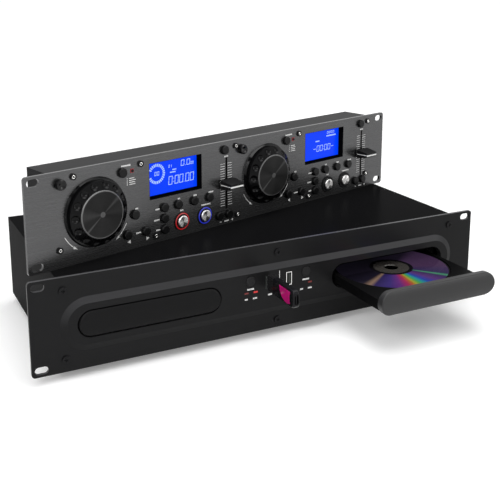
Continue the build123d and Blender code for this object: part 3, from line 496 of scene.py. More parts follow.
@dataclass(frozen=True)
class TurnedFinish:
    """A moulded piece with a turned metal face: grooves round an axis, highlight streaks painted into its
    colour by angle round the axis, a boss and a rim.
    """

    name: str
    centre: Point
    yaw: float
    face_radius: float
    face_out: float
    face_colour: Colour
    body_colour: Colour
    face_roughness: float = 0.28
    body_roughness: float = 0.3
    groove_scale: float = 2600.0
    face_metallic: float = 1.0
    specular: float = 0.1
    painted_highlight_wedges: tuple[tuple[float, float], ...] = ((-180.0, 1.0), (180.0, 1.0))
    boss_radius: float = 0.0
    boss_tone: float = 1.0
    rim_band: Spot = (0.0, 0.0)
    rim_tone: float = 1.0

    def build(self) -> bpy.types.Material:
        """Builds the material.

        Returns:
            The material.
        """
        material, sheet, shader = new_material(self.name)
        spot = EFFECTS.place(sheet, EFFECTS.radial, Centre=self.centre, Yaw=math.radians(self.yaw))
        inside = sheet.maths("LESS_THAN", spot.outputs["Radius"], self.face_radius * MM)
        proud = sheet.maths("GREATER_THAN", spot.outputs["Out"], self.face_out * MM)
        face = sheet.maths("MULTIPLY", inside, proud)
        cloud = EFFECTS.place(sheet, EFFECTS.mottle, Scale=40.0, Amount=0.08)
        reach = spot.outputs["Radius"]
        grooves = sheet.maths("SINE", sheet.maths("MULTIPLY", reach, self.groove_scale * 2))
        height = sheet.maths("MULTIPLY", grooves, face)
        rub = sheet.add("ShaderNodeTexNoise", {"Vector": sheet.add(
            "ShaderNodeCombineXYZ", {"X": sheet.maths("MULTIPLY", reach, 900.0)}).outputs[0],
            "Scale": 1.0, "Detail": 3.0}).outputs["Fac"]
        rubbed = sheet.maths("MULTIPLY_ADD", rub, 0.5, 0.75)
        # Painted highlights: streaks of sheen are painted into the face's colour by angle round the axis,
        # and turn with the piece.
        share = sheet.maths("MULTIPLY_ADD", spot.outputs["Angle"], 0.5 / math.pi, 0.5)
        painted_highlight_tone = sheet.ramp(share, [(degrees_to_share(turn), (tone,) * 3) for turn, tone in self.painted_highlight_wedges])
        radius = sheet.maths("DIVIDE", spot.outputs["Radius"], MM)
        boss = sheet.maths("LESS_THAN", radius, self.boss_radius)
        rim = sheet.maths("MULTIPLY", sheet.maths("GREATER_THAN", radius, self.rim_band[0]),
                          sheet.maths("LESS_THAN", radius, self.rim_band[1]))
        inner = sheet.mixed(boss, painted_highlight_tone, (self.boss_tone,) * 3)
        shade = sheet.mixed(rim, inner, (self.rim_tone,) * 3)
        light = sheet.maths("MULTIPLY", sheet.maths("MULTIPLY", rubbed, shade), cloud.outputs["Factor"])
        face_tone = tinted(sheet, self.face_colour, light)
        body_tone = tinted(sheet, self.body_colour, cloud.outputs["Factor"])
        sheet.tree.links.new(sheet.mixed(face, body_tone, face_tone), shader.inputs["Base Color"])
        gap = self.face_roughness - self.body_roughness
        rough = sheet.maths("MULTIPLY", sheet.maths("MULTIPLY_ADD", face, gap, self.body_roughness),
                            cloud.outputs["Factor"])
        sheet.tree.links.new(rough, shader.inputs["Roughness"])
        sheet.tree.links.new(sheet.maths("MULTIPLY", face, self.face_metallic), shader.inputs["Metallic"])
        shader.inputs["Anisotropic"].default_value = 0.85
        shader.inputs["Specular IOR Level"].default_value = self.specular
        sheet.tree.links.new(spot.outputs["Tangent"], shader.inputs["Tangent"])
        raise_surface(sheet, shader, height, 0.05, 0.00002)
        return material


@dataclass(frozen=True)
class DiscFinish:
    """A silvered disc: dark hub, mirror ring, data band with a painted reflection of rainbow streaks and
    dark patches by angle, which also glows, and plain rim.
    """

    name: str = "silvered_disc"
    centre: Point = (0.1307, -0.0717, 0.0519)
    hub_radius: float = 0.0185
    data_radius: float = 0.0225
    rim_radius: float = 0.0585

    def build(self) -> bpy.types.Material:
        """Builds the material.

        Returns:
            The material.
        """
        material, sheet, shader = new_material(self.name)
        place = sheet.add("ShaderNodeTexCoord")
        offset = sheet.vector("SUBTRACT", place.outputs["Object"], self.centre).outputs[0]
        parts = sheet.add("ShaderNodeSeparateXYZ", {"Vector": offset})
        x, y = parts.outputs[0], parts.outputs[1]
        radius = sheet.maths("SQRT", sheet.maths("ADD", sheet.maths("MULTIPLY", x, x),
                                                 sheet.maths("MULTIPLY", y, y)))
        turn = sheet.maths("ADD", sheet.maths("ARCTAN2", y, x), math.pi)
        angle = sheet.maths("DIVIDE", turn, 2 * math.pi)
        # Painted reflection: the data band's colour is a ramp of rainbow streaks and dark patches by angle
        # round the disc.
        painted_reflection = sheet.ramp(angle, PAINTED_DISC_REFLECTION)
        rings = sheet.add("ShaderNodeTexNoise", {"Vector": sheet.add(
            "ShaderNodeCombineXYZ", {"X": sheet.maths("MULTIPLY", radius, 700.0)}).outputs[0],
            "Scale": 1.0, "Detail": 2.0}).outputs["Fac"]
        painted_reflection_band = sheet.vector("SCALE", painted_reflection)
        sheet.tree.links.new(sheet.maths("MULTIPLY_ADD", rings, 0.4, 0.8), painted_reflection_band.inputs["Scale"])
        in_data = sheet.maths("MULTIPLY", sheet.maths("GREATER_THAN", radius, self.data_radius),
                              sheet.maths("LESS_THAN", radius, self.rim_radius))
        in_hub = sheet.maths("LESS_THAN", radius, self.hub_radius)
        plain = sheet.mixed(in_hub, (0.05, 0.045, 0.06), (0.06, 0.055, 0.05))
        colour = sheet.mixed(in_data, plain, painted_reflection_band.outputs[0])
        sheet.tree.links.new(colour, shader.inputs["Base Color"])
        sheet.tree.links.new(sheet.maths("MULTIPLY_ADD", in_hub, -0.6, 0.9), shader.inputs["Metallic"])
        sheet.tree.links.new(sheet.maths("MULTIPLY_ADD", in_data, -0.03, 0.12), shader.inputs["Roughness"])
        shader.inputs["Coat Weight"].default_value = 0.1
        shader.inputs["Coat Roughness"].default_value = 0.04
        # The painted reflection is also given off as a faint glow of its own.
        glow = sheet.vector("SCALE", colour)
        sheet.tree.links.new(sheet.maths("MULTIPLY", in_data, 0.22), glow.inputs["Scale"])
        sheet.tree.links.new(glow.outputs[0], shader.inputs["Emission Color"])
        shader.inputs["Emission Strength"].default_value = 1.0
        return material


def degrees_to_share(angle: float) -> float:
    """Turns an angle seen from above, from -180 to 180 degrees, into a share of the ramp.

    Args:
        angle: The angle in degrees, 0 towards +X and 90 towards +Y.

    Returns:
        The share, from 0 to 1.
    """
    return (angle + 180.0) / 360.0


# Angle round the disc and colour of its painted reflection: rainbow streaks, and dark patches where it
# mirrors the dark inside.
PAINTED_DISC_REFLECTION: list[tuple[float, Colour]] = [
    (degrees_to_share(angle), colour) for angle, colour in (
        (-180, (0.012, 0.010, 0.018)), (-154, (0.03, 0.025, 0.05)), (-147, (0.60, 0.38, 0.26)),
        (-142, (0.06, 0.04, 0.20)), (-127, (0.10, 0.06, 0.38)), (-115, (0.28, 0.06, 0.42)),
        (-106, (0.85, 0.05, 0.20)), (-100, (0.90, 0.28, 0.05)), (-97, (0.85, 0.75, 0.10)),
        (-92, (0.15, 0.80, 0.15)), (-86, (0.05, 0.60, 0.70)), (-80, (0.05, 0.12, 0.80)),
        (-68, (0.22, 0.08, 0.42)), (-54, (0.10, 0.06, 0.22)), (-50, (0.15, 0.70, 0.35)),
        (-46, (0.08, 0.06, 0.20)), (-30, (0.12, 0.07, 0.20)), (-20, (0.16, 0.08, 0.20)),
        (22, (0.13, 0.07, 0.17)), (38, (0.03, 0.022, 0.045)), (110, (0.010, 0.010, 0.015)),
        (180, (0.020, 0.016, 0.030)))]


# Turn from the panel's own x axis in degrees, and tone, of the painted highlight streaks on a turned face:
# sheen painted into its colour by angle.
JOG_PAINTED_HIGHLIGHTS = ((-180.0, 0.55), (-165.0, 0.32), (-145.0, 0.34), (-140.0, 1.6), (-136.0, 0.34), (-100.0, 0.42),
              (-60.0, 0.34), (-12.0, 0.20), (2.0, 0.32), (30.0, 0.32), (38.0, 0.95), (46.0, 0.30),
              (90.0, 0.36), (150.0, 0.30), (170.0, 0.52), (180.0, 0.55))
BUTTON_PAINTED_HIGHLIGHTS = ((-180.0, 0.8), (-150.0, 0.55), (-125.0, 1.25), (-95.0, 0.6), (-40.0, 0.7), (-15.0, 1.2),
                 (20.0, 0.6), (60.0, 1.3), (95.0, 0.6), (140.0, 1.1), (180.0, 0.8))


@dataclass(frozen=True)
class LitFinish:
    """A lamp, a lit ring or a lit display: its own light over a gloss surface."""

    name: str
    colour: Colour
    glow: Colour
    roughness: float = 0.25
    unevenness: float = 0.06
    specular: float = 0.5

    def build(self) -> bpy.types.Material:
        """Builds the material.

        Returns:
            The material.
        """
        material, sheet, shader = new_material(self.name)
        cloud = EFFECTS.place(sheet, EFFECTS.mottle, Scale=30.0, Amount=self.unevenness)
        for colour, socket in ((self.colour, "Base Color"), (self.glow, "Emission Color")):
            sheet.tree.links.new(tinted(sheet, colour, cloud.outputs["Factor"]), shader.inputs[socket])
        shader.inputs["Emission Strength"].default_value = 1.0
        shader.inputs["Roughness"].default_value = self.roughness
        shader.inputs["Specular IOR Level"].default_value = self.specular
        return material


@dataclass(frozen=True)
class StickFinish:
    """A black gloss stick with a bare metal plug and a slightly lighter block at its root."""

    name: str = "stick_black"
    plug_from: float = -0.0700
    root_from: float = -0.0830
    colour: Colour = (0.006, 0.006, 0.007)
    root_colour: Colour = (0.012, 0.012, 0.0125)
    plug_colour: Colour = (0.62, 0.62, 0.64)
    roughness: float = 0.24
    specular: float = 0.12

    def build(self) -> bpy.types.Material:
        """Builds the material.

        Returns:
            The material.
        """
        material, sheet, shader = new_material(self.name)
        place = sheet.add("ShaderNodeTexCoord")
        y = sheet.add("ShaderNodeSeparateXYZ", {"Vector": place.outputs["Object"]}).outputs[1]
        plug = sheet.maths("GREATER_THAN", y, self.plug_from)
        root = sheet.maths("GREATER_THAN", y, self.root_from)
        cloud = EFFECTS.place(sheet, EFFECTS.mottle, Scale=60.0, Amount=0.1)
        body = sheet.mixed(root, self.colour, self.root_colour)
        colour = sheet.mixed(plug, body, self.plug_colour)
        sheet.tree.links.new(colour, shader.inputs["Base Color"])
        sheet.tree.links.new(plug, shader.inputs["Metallic"])
        sheet.tree.links.new(sheet.maths("MULTIPLY", cloud.outputs["Factor"], self.roughness),
                             shader.inputs["Roughness"])
        shader.inputs["Specular IOR Level"].default_value = self.specular
        return material


@dataclass(frozen=True)
class ClearFinish:
    """Tinted clear plastic."""

    name: str
    colour: Colour
    roughness: float = 0.12
    clearness: float = 0.35
    coat: float = 0.5

    def build(self) -> bpy.types.Material:
        """Builds the material.

        Returns:
            The material.
        """
        material, sheet, shader = new_material(self.name)
        cloud = EFFECTS.place(sheet, EFFECTS.mottle, Scale=90.0, Amount=0.15)
        colour = tinted(sheet, self.colour, cloud.outputs["Factor"])
        sheet.tree.links.new(colour, shader.inputs["Base Color"])
        sheet.tree.links.new(sheet.maths("MULTIPLY", cloud.outputs["Factor"], self.roughness),
                             shader.inputs["Roughness"])
        shader.inputs["Transmission Weight"].default_value = self.clearness
        shader.inputs["Coat Weight"].default_value = self.coat
        return material


class Paintbox:
    """Every finish that more than one sub-assembly uses."""

    def __init__(self) -> None:
        """Builds the shared materials."""
        self.ink = GrainedFinish(
            "white_ink", (0.80, 0.80, 0.79), 0.6, mottle=0.1, grain_strength=0.1).build()
        self.bright = BrushedFinish(
            "bright_nickel", (0.75, 0.74, 0.72), roughness=0.18, metallic=1.0).build()
        self.black_plastic = GrainedFinish(
            "black_moulding", (0.006, 0.006, 0.0065), 0.42, 0.12, grain_strength=0.2).build()
        self.deep_black = GrainedFinish(
            "deep_black_lining_and_gap_shade", (0.0015, 0.0015, 0.0016), 0.8, 0.005, grain_strength=0.05).build()
        self.cap_black = GrainedFinish(
            "button_black", (0.005, 0.005, 0.0053), 0.24, 0.14, grain_strength=0.06).build()
        self.gloss_black = GrainedFinish(
            "gloss_black_moulding", (0.003, 0.003, 0.0033), 0.16, 0.22, grain_strength=0.05,
            mottle=0.12).build()
        self.rubber = GrainedFinish(
            "dark_rubber", (0.012, 0.012, 0.0125), 0.5, 0.15, grain_scale=2200.0,
            grain_strength=0.25).build()
        self.board = GrainedFinish("board_lacquer", (0.003, 0.007, 0.004), 0.4, grain_scale=700.0).build()


# -------------------------------------------------------------------------------- mesh making
class MeshDraft:
    """A mesh in a panel's millimetres that becomes one piece in the row frame."""

    def __init__(self) -> None:
        """Starts an empty mesh."""
        self.bm = bmesh.new()

    def prism(self, outline: Sequence[Spot], near: float, far: float) -> None:
        """Adds a straight prism over an outline.

        Args:
            outline: Corners of the outline, in order.
            near: Distance of its back in front of the panel.
            far: Distance of its front in front of the panel.
        """
        back = [self.bm.verts.new((x, y, near)) for x, y in outline]
        front = [self.bm.verts.new((x, y, far)) for x, y in outline]
        self.bm.faces.new(front)
        self.bm.faces.new(back[::-1])
        count = len(outline)
        for i in range(count):
            j = (i + 1) % count
            self.bm.faces.new((back[i], back[j], front[j], front[i]))

    def bar(self, centre: Spot, size: Spot, near: float, far: float, turn: float = 0.0) -> None:
        """Adds a rectangular bar.

        Args:
            centre: Middle of the bar.
            size: Its width and height.
            near: Distance of its back in front of the panel.
            far: Distance of its front in front of the panel.
            turn: Turn of the bar in degrees.
        """
        c, s = math.cos(math.radians(turn)), math.sin(math.radians(turn))
        corners = [(-size[0] / 2, -size[1] / 2), (size[0] / 2, -size[1] / 2),
                   (size[0] / 2, size[1] / 2), (-size[0] / 2, size[1] / 2)]
        self.prism([(centre[0] + c * x - s * y, centre[1] + s * x + c * y) for x, y in corners], near, far)

    def frame(self, centre: Spot, size: Spot, wall: float, near: float, far: float) -> None:
        """Adds a rectangular frame of four bars.

        Args:
            centre: Middle of the frame.
            size: Its outer width and height.
            wall: Width of its bars.
            near: Distance of its back in front of the panel.
            far: Distance of its front in front of the panel.
        """
        (x, y), (width, height) = centre, size
        shift_x, shift_y = (width - wall) / 2, (height - wall) / 2
        for sign in (1, -1):
            self.bar((x, y + sign * shift_y), (width, wall), near, far)
        for sign in (-1, 1):
            self.bar((x + sign * shift_x, y), (wall, height - 2 * wall), near, far)

    def arc(self, centre: Spot, inner: float, outer: float, start: float, end: float, near: float,
            far: float, steps: int = 24) -> None:
        """Adds a flat piece of a ring.

        Args:
            centre: Middle of the ring.
            inner: Inner radius.
            outer: Outer radius.
            start: Angle of one end in degrees.
            end: Angle of the other end in degrees.
            near: Distance of its back in front of the panel.
            far: Distance of its front in front of the panel.
            steps: Number of straight pieces in it.
        """
        turns = [math.radians(start + (end - start) * i / steps) for i in range(steps + 1)]
        rim = [(centre[0] + outer * math.cos(t), centre[1] + outer * math.sin(t)) for t in turns]
        core = [(centre[0] + inner * math.cos(t), centre[1] + inner * math.sin(t)) for t in turns]
        for i in range(steps):
            self.prism([core[i], rim[i], rim[i + 1], core[i + 1]], near, far)

    def lathe(self, centre: Spot, profile: Sequence[Spot], steps: int = 48) -> None:
        """Adds a closed ring turned from a profile.

        Args:
            centre: Middle of the ring.
            profile: Radius and out-distance of each corner of the closed profile.
            steps: Number of faces round the ring.
        """
        loops = []
        for i in range(steps):
            t = 2 * math.pi * i / steps
            loops.append([self.bm.verts.new((centre[0] + r * math.cos(t), centre[1] + r * math.sin(t), h))
                          for r, h in profile])
        count = len(profile)
        for i in range(steps):
            a, b = loops[i], loops[(i + 1) % steps]
            for k in range(count):
                m = (k + 1) % count
                self.bm.faces.new((a[k], b[k], b[m], a[m]))

    def label(self, centre: Spot, width: float, height: float, near: float, far: float) -> None:
        """Adds a printed legend as a row of small plain blocks, with no letters in it.

        Args:
            centre: Middle of the legend.
            width: Its length.
            height: Its height.
            near: Distance of its back in front of the panel.
            far: Distance of its front in front of the panel.
        """
        block, gap = height * 0.62, height * 0.2
        count = max(2, round((width + gap) / (block + gap)))
        pitch = width / count
        for i in range(count):
            x = centre[0] - width / 2 + pitch * (i + 0.5)
            self.bar((x, centre[1]), (pitch - gap, height), near, far)

    def arrow(self, tip: Spot, length: float, half: float, turn: float, near: float, far: float) -> None:
        """Adds a filled arrow head.

        Args:
            tip: The arrow's tip.
            length: Its length.
            half: Half of its width.
            turn: Direction it points in, in degrees.
            near: Distance of its back in front of the panel.
            far: Distance of its front in front of the panel.
        """
        c, s = math.cos(math.radians(turn)), math.sin(math.radians(turn))
        corners = [(0.0, 0.0), (-length, half), (-length, -half)]
        self.prism([(tip[0] + c * x - s * y, tip[1] + s * x + c * y) for x, y in corners], near, far)

    def digit(self, text: str, corner: Spot, size: Spot, stroke: float, near: float, far: float) -> None:
        """Adds a number in seven straight segments.

        Args:
            text: One figure, a minus, a dot or a colon.
            corner: Its lower left corner.
            size: Its width and height.
            stroke: Width of a segment.
            near: Distance of its back in front of the panel.
            far: Distance of its front in front of the panel.
        """
        x, y = corner
        w, h = size
        gap = stroke * 0.3
        segments = {
            "a": ((x + w / 2, y + h - stroke / 2), (w - 2 * gap, stroke)),
            "b": ((x + w - stroke / 2, y + h * 0.75), (stroke, h / 2 - 2 * gap)),
            "c": ((x + w - stroke / 2, y + h * 0.25), (stroke, h / 2 - 2 * gap)),
            "d": ((x + w / 2, y + stroke / 2), (w - 2 * gap, stroke)),
            "e": ((x + stroke / 2, y + h * 0.25), (stroke, h / 2 - 2 * gap)),
            "f": ((x + stroke / 2, y + h * 0.75), (stroke, h / 2 - 2 * gap)),
            "g": ((x + w / 2, y + h / 2), (w - 2 * gap, stroke)),
        }
        if text == ".":
            self.bar((x + stroke / 2, y + stroke / 2), (stroke, stroke), near, far)
            return
        if text == ":":
            for share in (0.3, 0.7):
                self.bar((x + stroke / 2, y + h * share), (stroke, stroke), near, far)
            return
        for name in SEVEN_SEGMENTS[text]:
            self.bar(*segments[name], near, far)

    def number(self, text: str, corner: Spot, size: Spot, stroke: float, gap: float, near: float,
               far: float) -> None:
        """Adds a row of figures.

        Args:
            text: The figures, dots and colons.
            corner: Lower left corner of the first one.
            size: Width and height of one figure.
            stroke: Width of a segment.
            gap: Space between two figures.
            near: Distance of its back in front of the panel.
            far: Distance of its front in front of the panel.
        """
        x = corner[0]
        before = set(self.bm.verts)
        for sign in text:
            self.digit(sign, (x, corner[1]), size, stroke, near, far)
            x += (stroke if sign in ".:" else size[0]) + gap
        for vert in self.bm.verts:
            if vert not in before:
                vert.co.x += DIGIT_SLANT * (vert.co.y - corner[1])

    def join(self, mesh: bpy.types.Mesh) -> None:
        """Adds the faces of a finished mesh and removes it.

        Args:
            mesh: The mesh to take in.
        """
        self.bm.from_mesh(mesh)
        bpy.data.meshes.remove(mesh)

    def piece(self, name: str, place: Matrix, material: bpy.types.Material, body: str,
              smooth: bool = False) -> bpy.types.Object:
        """Turns the draft into a piece that rides on a body.

        Args:
            name: Name of the piece.
            place: Transform from the draft's millimetres to row metres.
            material: Its material.
            body: The body that it rides on.
            smooth: Whether its faces are shaded smooth.

        Returns:
            The piece.
        """
        bmesh.ops.transform(self.bm, matrix=place, verts=self.bm.verts)
        bmesh.ops.recalc_face_normals(self.bm, faces=self.bm.faces)
        for face in self.bm.faces:
            face.smooth = smooth
        mesh = bpy.data.meshes.new(name)
        self.bm.to_mesh(mesh)
        self.bm.free()
        piece = bpy.data.objects.new(name, mesh)
        bpy.context.scene.collection.objects.link(piece)
        piece.data.materials.clear()
        piece.data.materials.append(material)
        for polygon in mesh.polygons:
            polygon.material_index = 0
        if smooth:
            mesh.set_sharp_from_angle(angle=math.radians(35))
        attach(piece, body)
        LOG.info("piece %s: %d faces on %s", name, len(mesh.polygons), body)
        return piece


SEVEN_SEGMENTS = {"0": "abcdef", "1": "bc", "2": "abdeg", "3": "abcdg", "4": "bcfg", "5": "acdfg",
                  "6": "acdefg", "7": "abc", "8": "abcdefg", "9": "abcdfg", "-": "g"}
DIGIT_SLANT = 0.09


# -------------------------------------------------------------------------------- repeats
class RepeatTrees:
    """Geometry node trees for what repeats on the panels."""

    def __init__(self) -> None:
        """Builds each tree once."""
        self.row = self._row()
        self.rings = self._rings()

    @staticmethod
    def _close(sheet: NodeSheet, given: bpy.types.Node, result: bpy.types.Node,
               instances: bpy.types.NodeSocket) -> None:
        """Ends a tree in Realize Instances and Set Material.

        Args:
            sheet: The tree's sheet.
            given: Its input node.
            result: Its output node.
            instances: The instances to end with.
        """
        real = sheet.add("GeometryNodeRealizeInstances", {"Geometry": instances})
        dressed = sheet.add("GeometryNodeSetMaterial", {"Geometry": real.outputs[0],
                                                        "Material": given.outputs["Material"]})
        sheet.tree.links.new(dressed.outputs[0], result.inputs[0])

    def _row(self) -> bpy.types.NodeTree:
        """Builds a straight row of equal blocks.

        Returns:
            The tree.
        """
        tree, sheet, given, result = new_group(
            "block_row",
            [("Geometry", "NodeSocketGeometry", None), ("Count", "NodeSocketInt", 5),
             ("Start", "NodeSocketVector", None), ("Step", "NodeSocketVector", None),
             ("Size", "NodeSocketVector", None), ("Material", "NodeSocketMaterial", None)],
            [("Geometry", "NodeSocketGeometry")], "GeometryNodeTree")
        line = sheet.add("GeometryNodeMeshLine", {"Count": given.outputs["Count"],
                                                 "Start Location": given.outputs["Start"],
                                                 "Offset": given.outputs["Step"]}, mode="OFFSET")
        block = sheet.add("GeometryNodeMeshCube", {"Size": given.outputs["Size"]})
        row = sheet.add("GeometryNodeInstanceOnPoints", {"Points": line.outputs["Mesh"],
                                                        "Instance": block.outputs["Mesh"]})
        self._close(sheet, given, result, row.outputs[0])
        return tree

    def _rings(self) -> bpy.types.NodeTree:
        """Builds a round-edged ring on each point of the given mesh.

        Returns:
            The tree.
        """
        tree, sheet, given, result = new_group(
            "rings_on_points",
            [("Geometry", "NodeSocketGeometry", None), ("Radius", "NodeSocketFloat", 3.0),
             ("Thickness", "NodeSocketFloat", 0.3), ("Material", "NodeSocketMaterial", None)],
            [("Geometry", "NodeSocketGeometry")], "GeometryNodeTree")
        path = sheet.add("GeometryNodeCurvePrimitiveCircle", {"Resolution": 32,
                                                             "Radius": given.outputs["Radius"]})
        section = sheet.add("GeometryNodeCurvePrimitiveCircle", {"Resolution": 8,
                                                                "Radius": given.outputs["Thickness"]})
        ring = sheet.add("GeometryNodeCurveToMesh", {"Curve": path.outputs[0],
                                                    "Profile Curve": section.outputs[0]})
        placed = sheet.add("GeometryNodeInstanceOnPoints", {"Points": given.outputs["Geometry"],
                                                           "Instance": ring.outputs[0]})
        self._close(sheet, given, result, placed.outputs[0])
        return tree

    @staticmethod
    def grow(tree: bpy.types.NodeTree, points: Iterable[Point] = ((0.0, 0.0, 0.0),),
             **inputs) -> bpy.types.Mesh:
        """Runs a tree once and gives its result as a plain mesh.

        Args:
            tree: The tree to run.
            points: Points of the mesh that the tree starts from.
            **inputs: Values of the tree's inputs by name.

        Returns:
            The mesh, in the same units as the inputs.
        """
        seed = bpy.data.meshes.new("seed")
        seed.from_pydata(list(points), [], [])
        holder = bpy.data.objects.new("holder", seed)
        bpy.context.scene.collection.objects.link(holder)
        modifier = holder.modifiers.new("repeat", "NODES")
        modifier.node_group = tree
        sockets = {item.name: item.identifier for item in tree.interface.items_tree
                   if item.in_out == "INPUT"}
        for name, value in inputs.items():
            modifier[sockets[name]] = value
        holder.update_tag()
        bpy.context.view_layer.update()
        graph = bpy.context.evaluated_depsgraph_get()
        mesh = bpy.data.meshes.new_from_object(holder.evaluated_get(graph))
        bpy.data.objects.remove(holder)
        bpy.data.meshes.remove(seed)
        return mesh


def dress(node: str, material: bpy.types.Material) -> None:
    """Gives a carried-over node its material.

    Args:
        node: The node's name.
        material: The material.
    """
    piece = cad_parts[node]
    piece.data.materials.clear()
    piece.data.materials.append(material)
    for polygon in piece.data.polygons:
        polygon.material_index = 0
    LOG.info("dressed %s in %s", node, material.name)


# -------------------------------------------------------------------------------- drive unit
@dataclass
class DriveUnit:
    """The disc drive unit with its two trays, the disc, the stick and the rear sockets."""

    paints: Paintbox
    trees: RepeatTrees
    field_out: float = 2.5
    ink: float = 0.06
    port_x: float = 11.4
    port_y: float = 50.0
    port_size: Spot = (5.9, 13.1)
    port_wall: float = 0.6
    port_rim: float = 0.15
    eject_x: float = 30.7
    eject_legend_y: float = 45.8
    eject_legend: Spot = (7.6, 1.7)
    captions: tuple[Spot, ...] = ((-4.6, 3.4), (4.8, 4.6))
    caption_y: float = 36.0
    caption_height: float = 1.6
    port_caption: Spot = (9.6, 37.0)
    port_caption_width: float = 4.6
    divider: Spot = (1.0, 55.4)
    divider_size: Spot = (0.55, 8.4)
    gap_shade_reach: Spot = (0.2, 1.2)
    lamp_size: Spot = (4.4, 1.7)
    lamp_edge: float = 0.18
    lamp_y: float = 42.2
    window_outline: tuple[Spot, ...] = ((96.0, 66.5), (97.0, 61.5), (100.5, 57.0), (106.0, 54.2),
                                        (111.5, 53.6), (115.5, 54.6), (115.5, 66.5))
    window_out: float = 0.12
    window_sunk: float = 0.7
    collar_radius: float = 3.75
    collar_wire: float = 0.38
    collar_reach: float = 7.4
    jack_x: float = 60.0
    jack_spacing: Spot = (30.0, 15.0)
    jack_z: float = 56.5
    rear_y: float = 144.2

    def build(self) -> None:
        """Dresses the unit and adds its small pieces."""
        self._dress_nodes()
        self._marks()
        self._lamps()
        self._port_frames()
        self._door_gap_shades()
        self._stick_window()
        self._rear()

    def _dress_nodes(self) -> None:
        """Gives every node of the drive unit its finish."""
        # The front panel's slopes that face up get painted light: a gain of 7.0 on their colour.
        panel = BrushedFinish(
            "black_front_panel", (0.009, 0.009, 0.0094), roughness=0.34, metallic=0.0, specular=0.09,
            brush_strength=0.05, up_slope_painted_light_gain=7.0).build()
        chassis = GrainedFinish(
            "grey_chassis_paint", (0.009, 0.009, 0.0093), 0.45, 0.02, grain_scale=1800.0).build()
        cover = GrainedFinish(
            "black_cover_paint", (0.005, 0.005, 0.0053), 0.25, 0.001, 2000.0, grain_strength=0.06).build()
        door = GrainedFinish(
            "satin_door", (0.024, 0.024, 0.0245), 0.36, 0.25, 2500.0, grain_strength=0.08).build()
        # Painted shade: the shut left door is a darker, less glossy copy of the door finish.
        shaded_door = GrainedFinish(
            "door_painted_shade", (0.008, 0.008, 0.0083), 0.36, 0.06, 2500.0, grain_strength=0.08).build()
        tray = GrainedFinish(
            "tray_moulding", (0.003, 0.003, 0.0032), 0.38, 0.02, 2200.0, grain_strength=0.1).build()
        for node, material in (
                ("drive_front_panel", panel), ("drive_chassis", chassis), ("drive_cover", cover),
                ("drive_feet", self.paints.rubber), ("drive_screws", self.paints.black_plastic),
                ("loader_mechanisms", self.paints.black_plastic), ("drive_electronics", self.paints.board),
                ("rear_sockets", self.paints.black_plastic), ("power_rocker", self.paints.gloss_black),
                ("tray_left", tray), ("tray_right", tray), ("tray_door_left", shaded_door),
                ("tray_door_right", door), ("eject_left", self.paints.rubber),
                ("eject_right", self.paints.rubber), ("disc", DiscFinish().build()),
                ("usb_stick", StickFinish().build())):
            dress(node, material)

    def _marks(self) -> None:
        """Adds the printed legends between the two trays."""
        near, far = self.field_out - self.ink, self.field_out + self.ink
        draft = MeshDraft()
        for side in (-1, 1):
            x = side * self.eject_x
            draft.label((x, self.eject_legend_y), *self.eject_legend, near, far)
            for dx, width in self.captions:
                draft.label((x + dx, self.caption_y), width, self.caption_height, near, far)
            draft.label((side * self.port_caption[0], self.port_caption[1]), self.port_caption_width,
                        self.caption_height, near, far)
        draft.bar(self.divider, self.divider_size, near, far)
        draft.piece("drive_marks", DRIVE_PANEL.matrix(), self.paints.ink, "drive_unit")

    def _lamps(self) -> None:
        """Adds the small red lamps under the eject buttons."""
        lit = LitFinish("red_lamp_lit", (0.3, 0.01, 0.01), (0.38, 0.012, 0.010)).build()
        dim = LitFinish("red_lamp_dark", (0.08, 0.004, 0.003), (0.06, 0.002, 0.0015)).build()
        near, far = self.field_out - 0.4, self.field_out + 0.25
        for x, material, name in ((-35.0, dim, "left_1"), (-25.2, lit, "left_2"), (35.6, dim, "right")):
            draft = MeshDraft()
            draft.bar((x, self.lamp_y), self.lamp_size, near, far)
            bmesh.ops.bevel(draft.bm, geom=draft.bm.edges[:], offset=self.lamp_edge, segments=2,
                            affect="EDGES")
            draft.piece(f"drive_lamp_{name}", DRIVE_PANEL.matrix(), material, "drive_unit", True)

    def _port_frames(self) -> None:
        """Adds the bright folded rim round the free port."""
        near, far = self.field_out - 0.2, self.field_out + 0.5
        size = (self.port_size[0] + 2 * self.port_rim, self.port_size[1] + 2 * self.port_rim)
        draft = MeshDraft()
        draft.frame((self.port_x, self.port_y), size, self.port_wall, near, far)
        draft.piece("port_frames", DRIVE_PANEL.matrix(), self.paints.bright, "drive_unit")

    def _door_gap_shades(self) -> None:
        """Adds a near-black stadium outline round each tray's opening on the raised field: painted shade of
        the gap round the door.
        """
        low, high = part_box("tray_door_left")
        half, reach = (high.z - low.z) / 2 / MM, (high.x - low.x) / 2 / MM
        near, far = self.field_out - self.ink, self.field_out + self.ink
        inner, outer = half + self.gap_shade_reach[0], half + self.gap_shade_reach[1]
        middle, straight = (inner + outer) / 2, reach - half
        for side, name in ((1, "left"), (-1, "right")):
            x, y = side * (low.x + high.x) / 2 / MM, (high.z + low.z) / 2 / MM - DRIVE_PANEL.origin[2]
            draft = MeshDraft()
            for end, start in ((1, -90.0), (-1, 90.0)):
                draft.arc((x + end * straight, y), inner, outer, start, start + 180.0, near, far)
                draft.bar((x, y + end * middle), (2 * straight, outer - inner), near, far)
            draft.piece(f"door_gap_shade_{name}", DRIVE_PANEL.matrix(), self.paints.deep_black, "drive_unit")

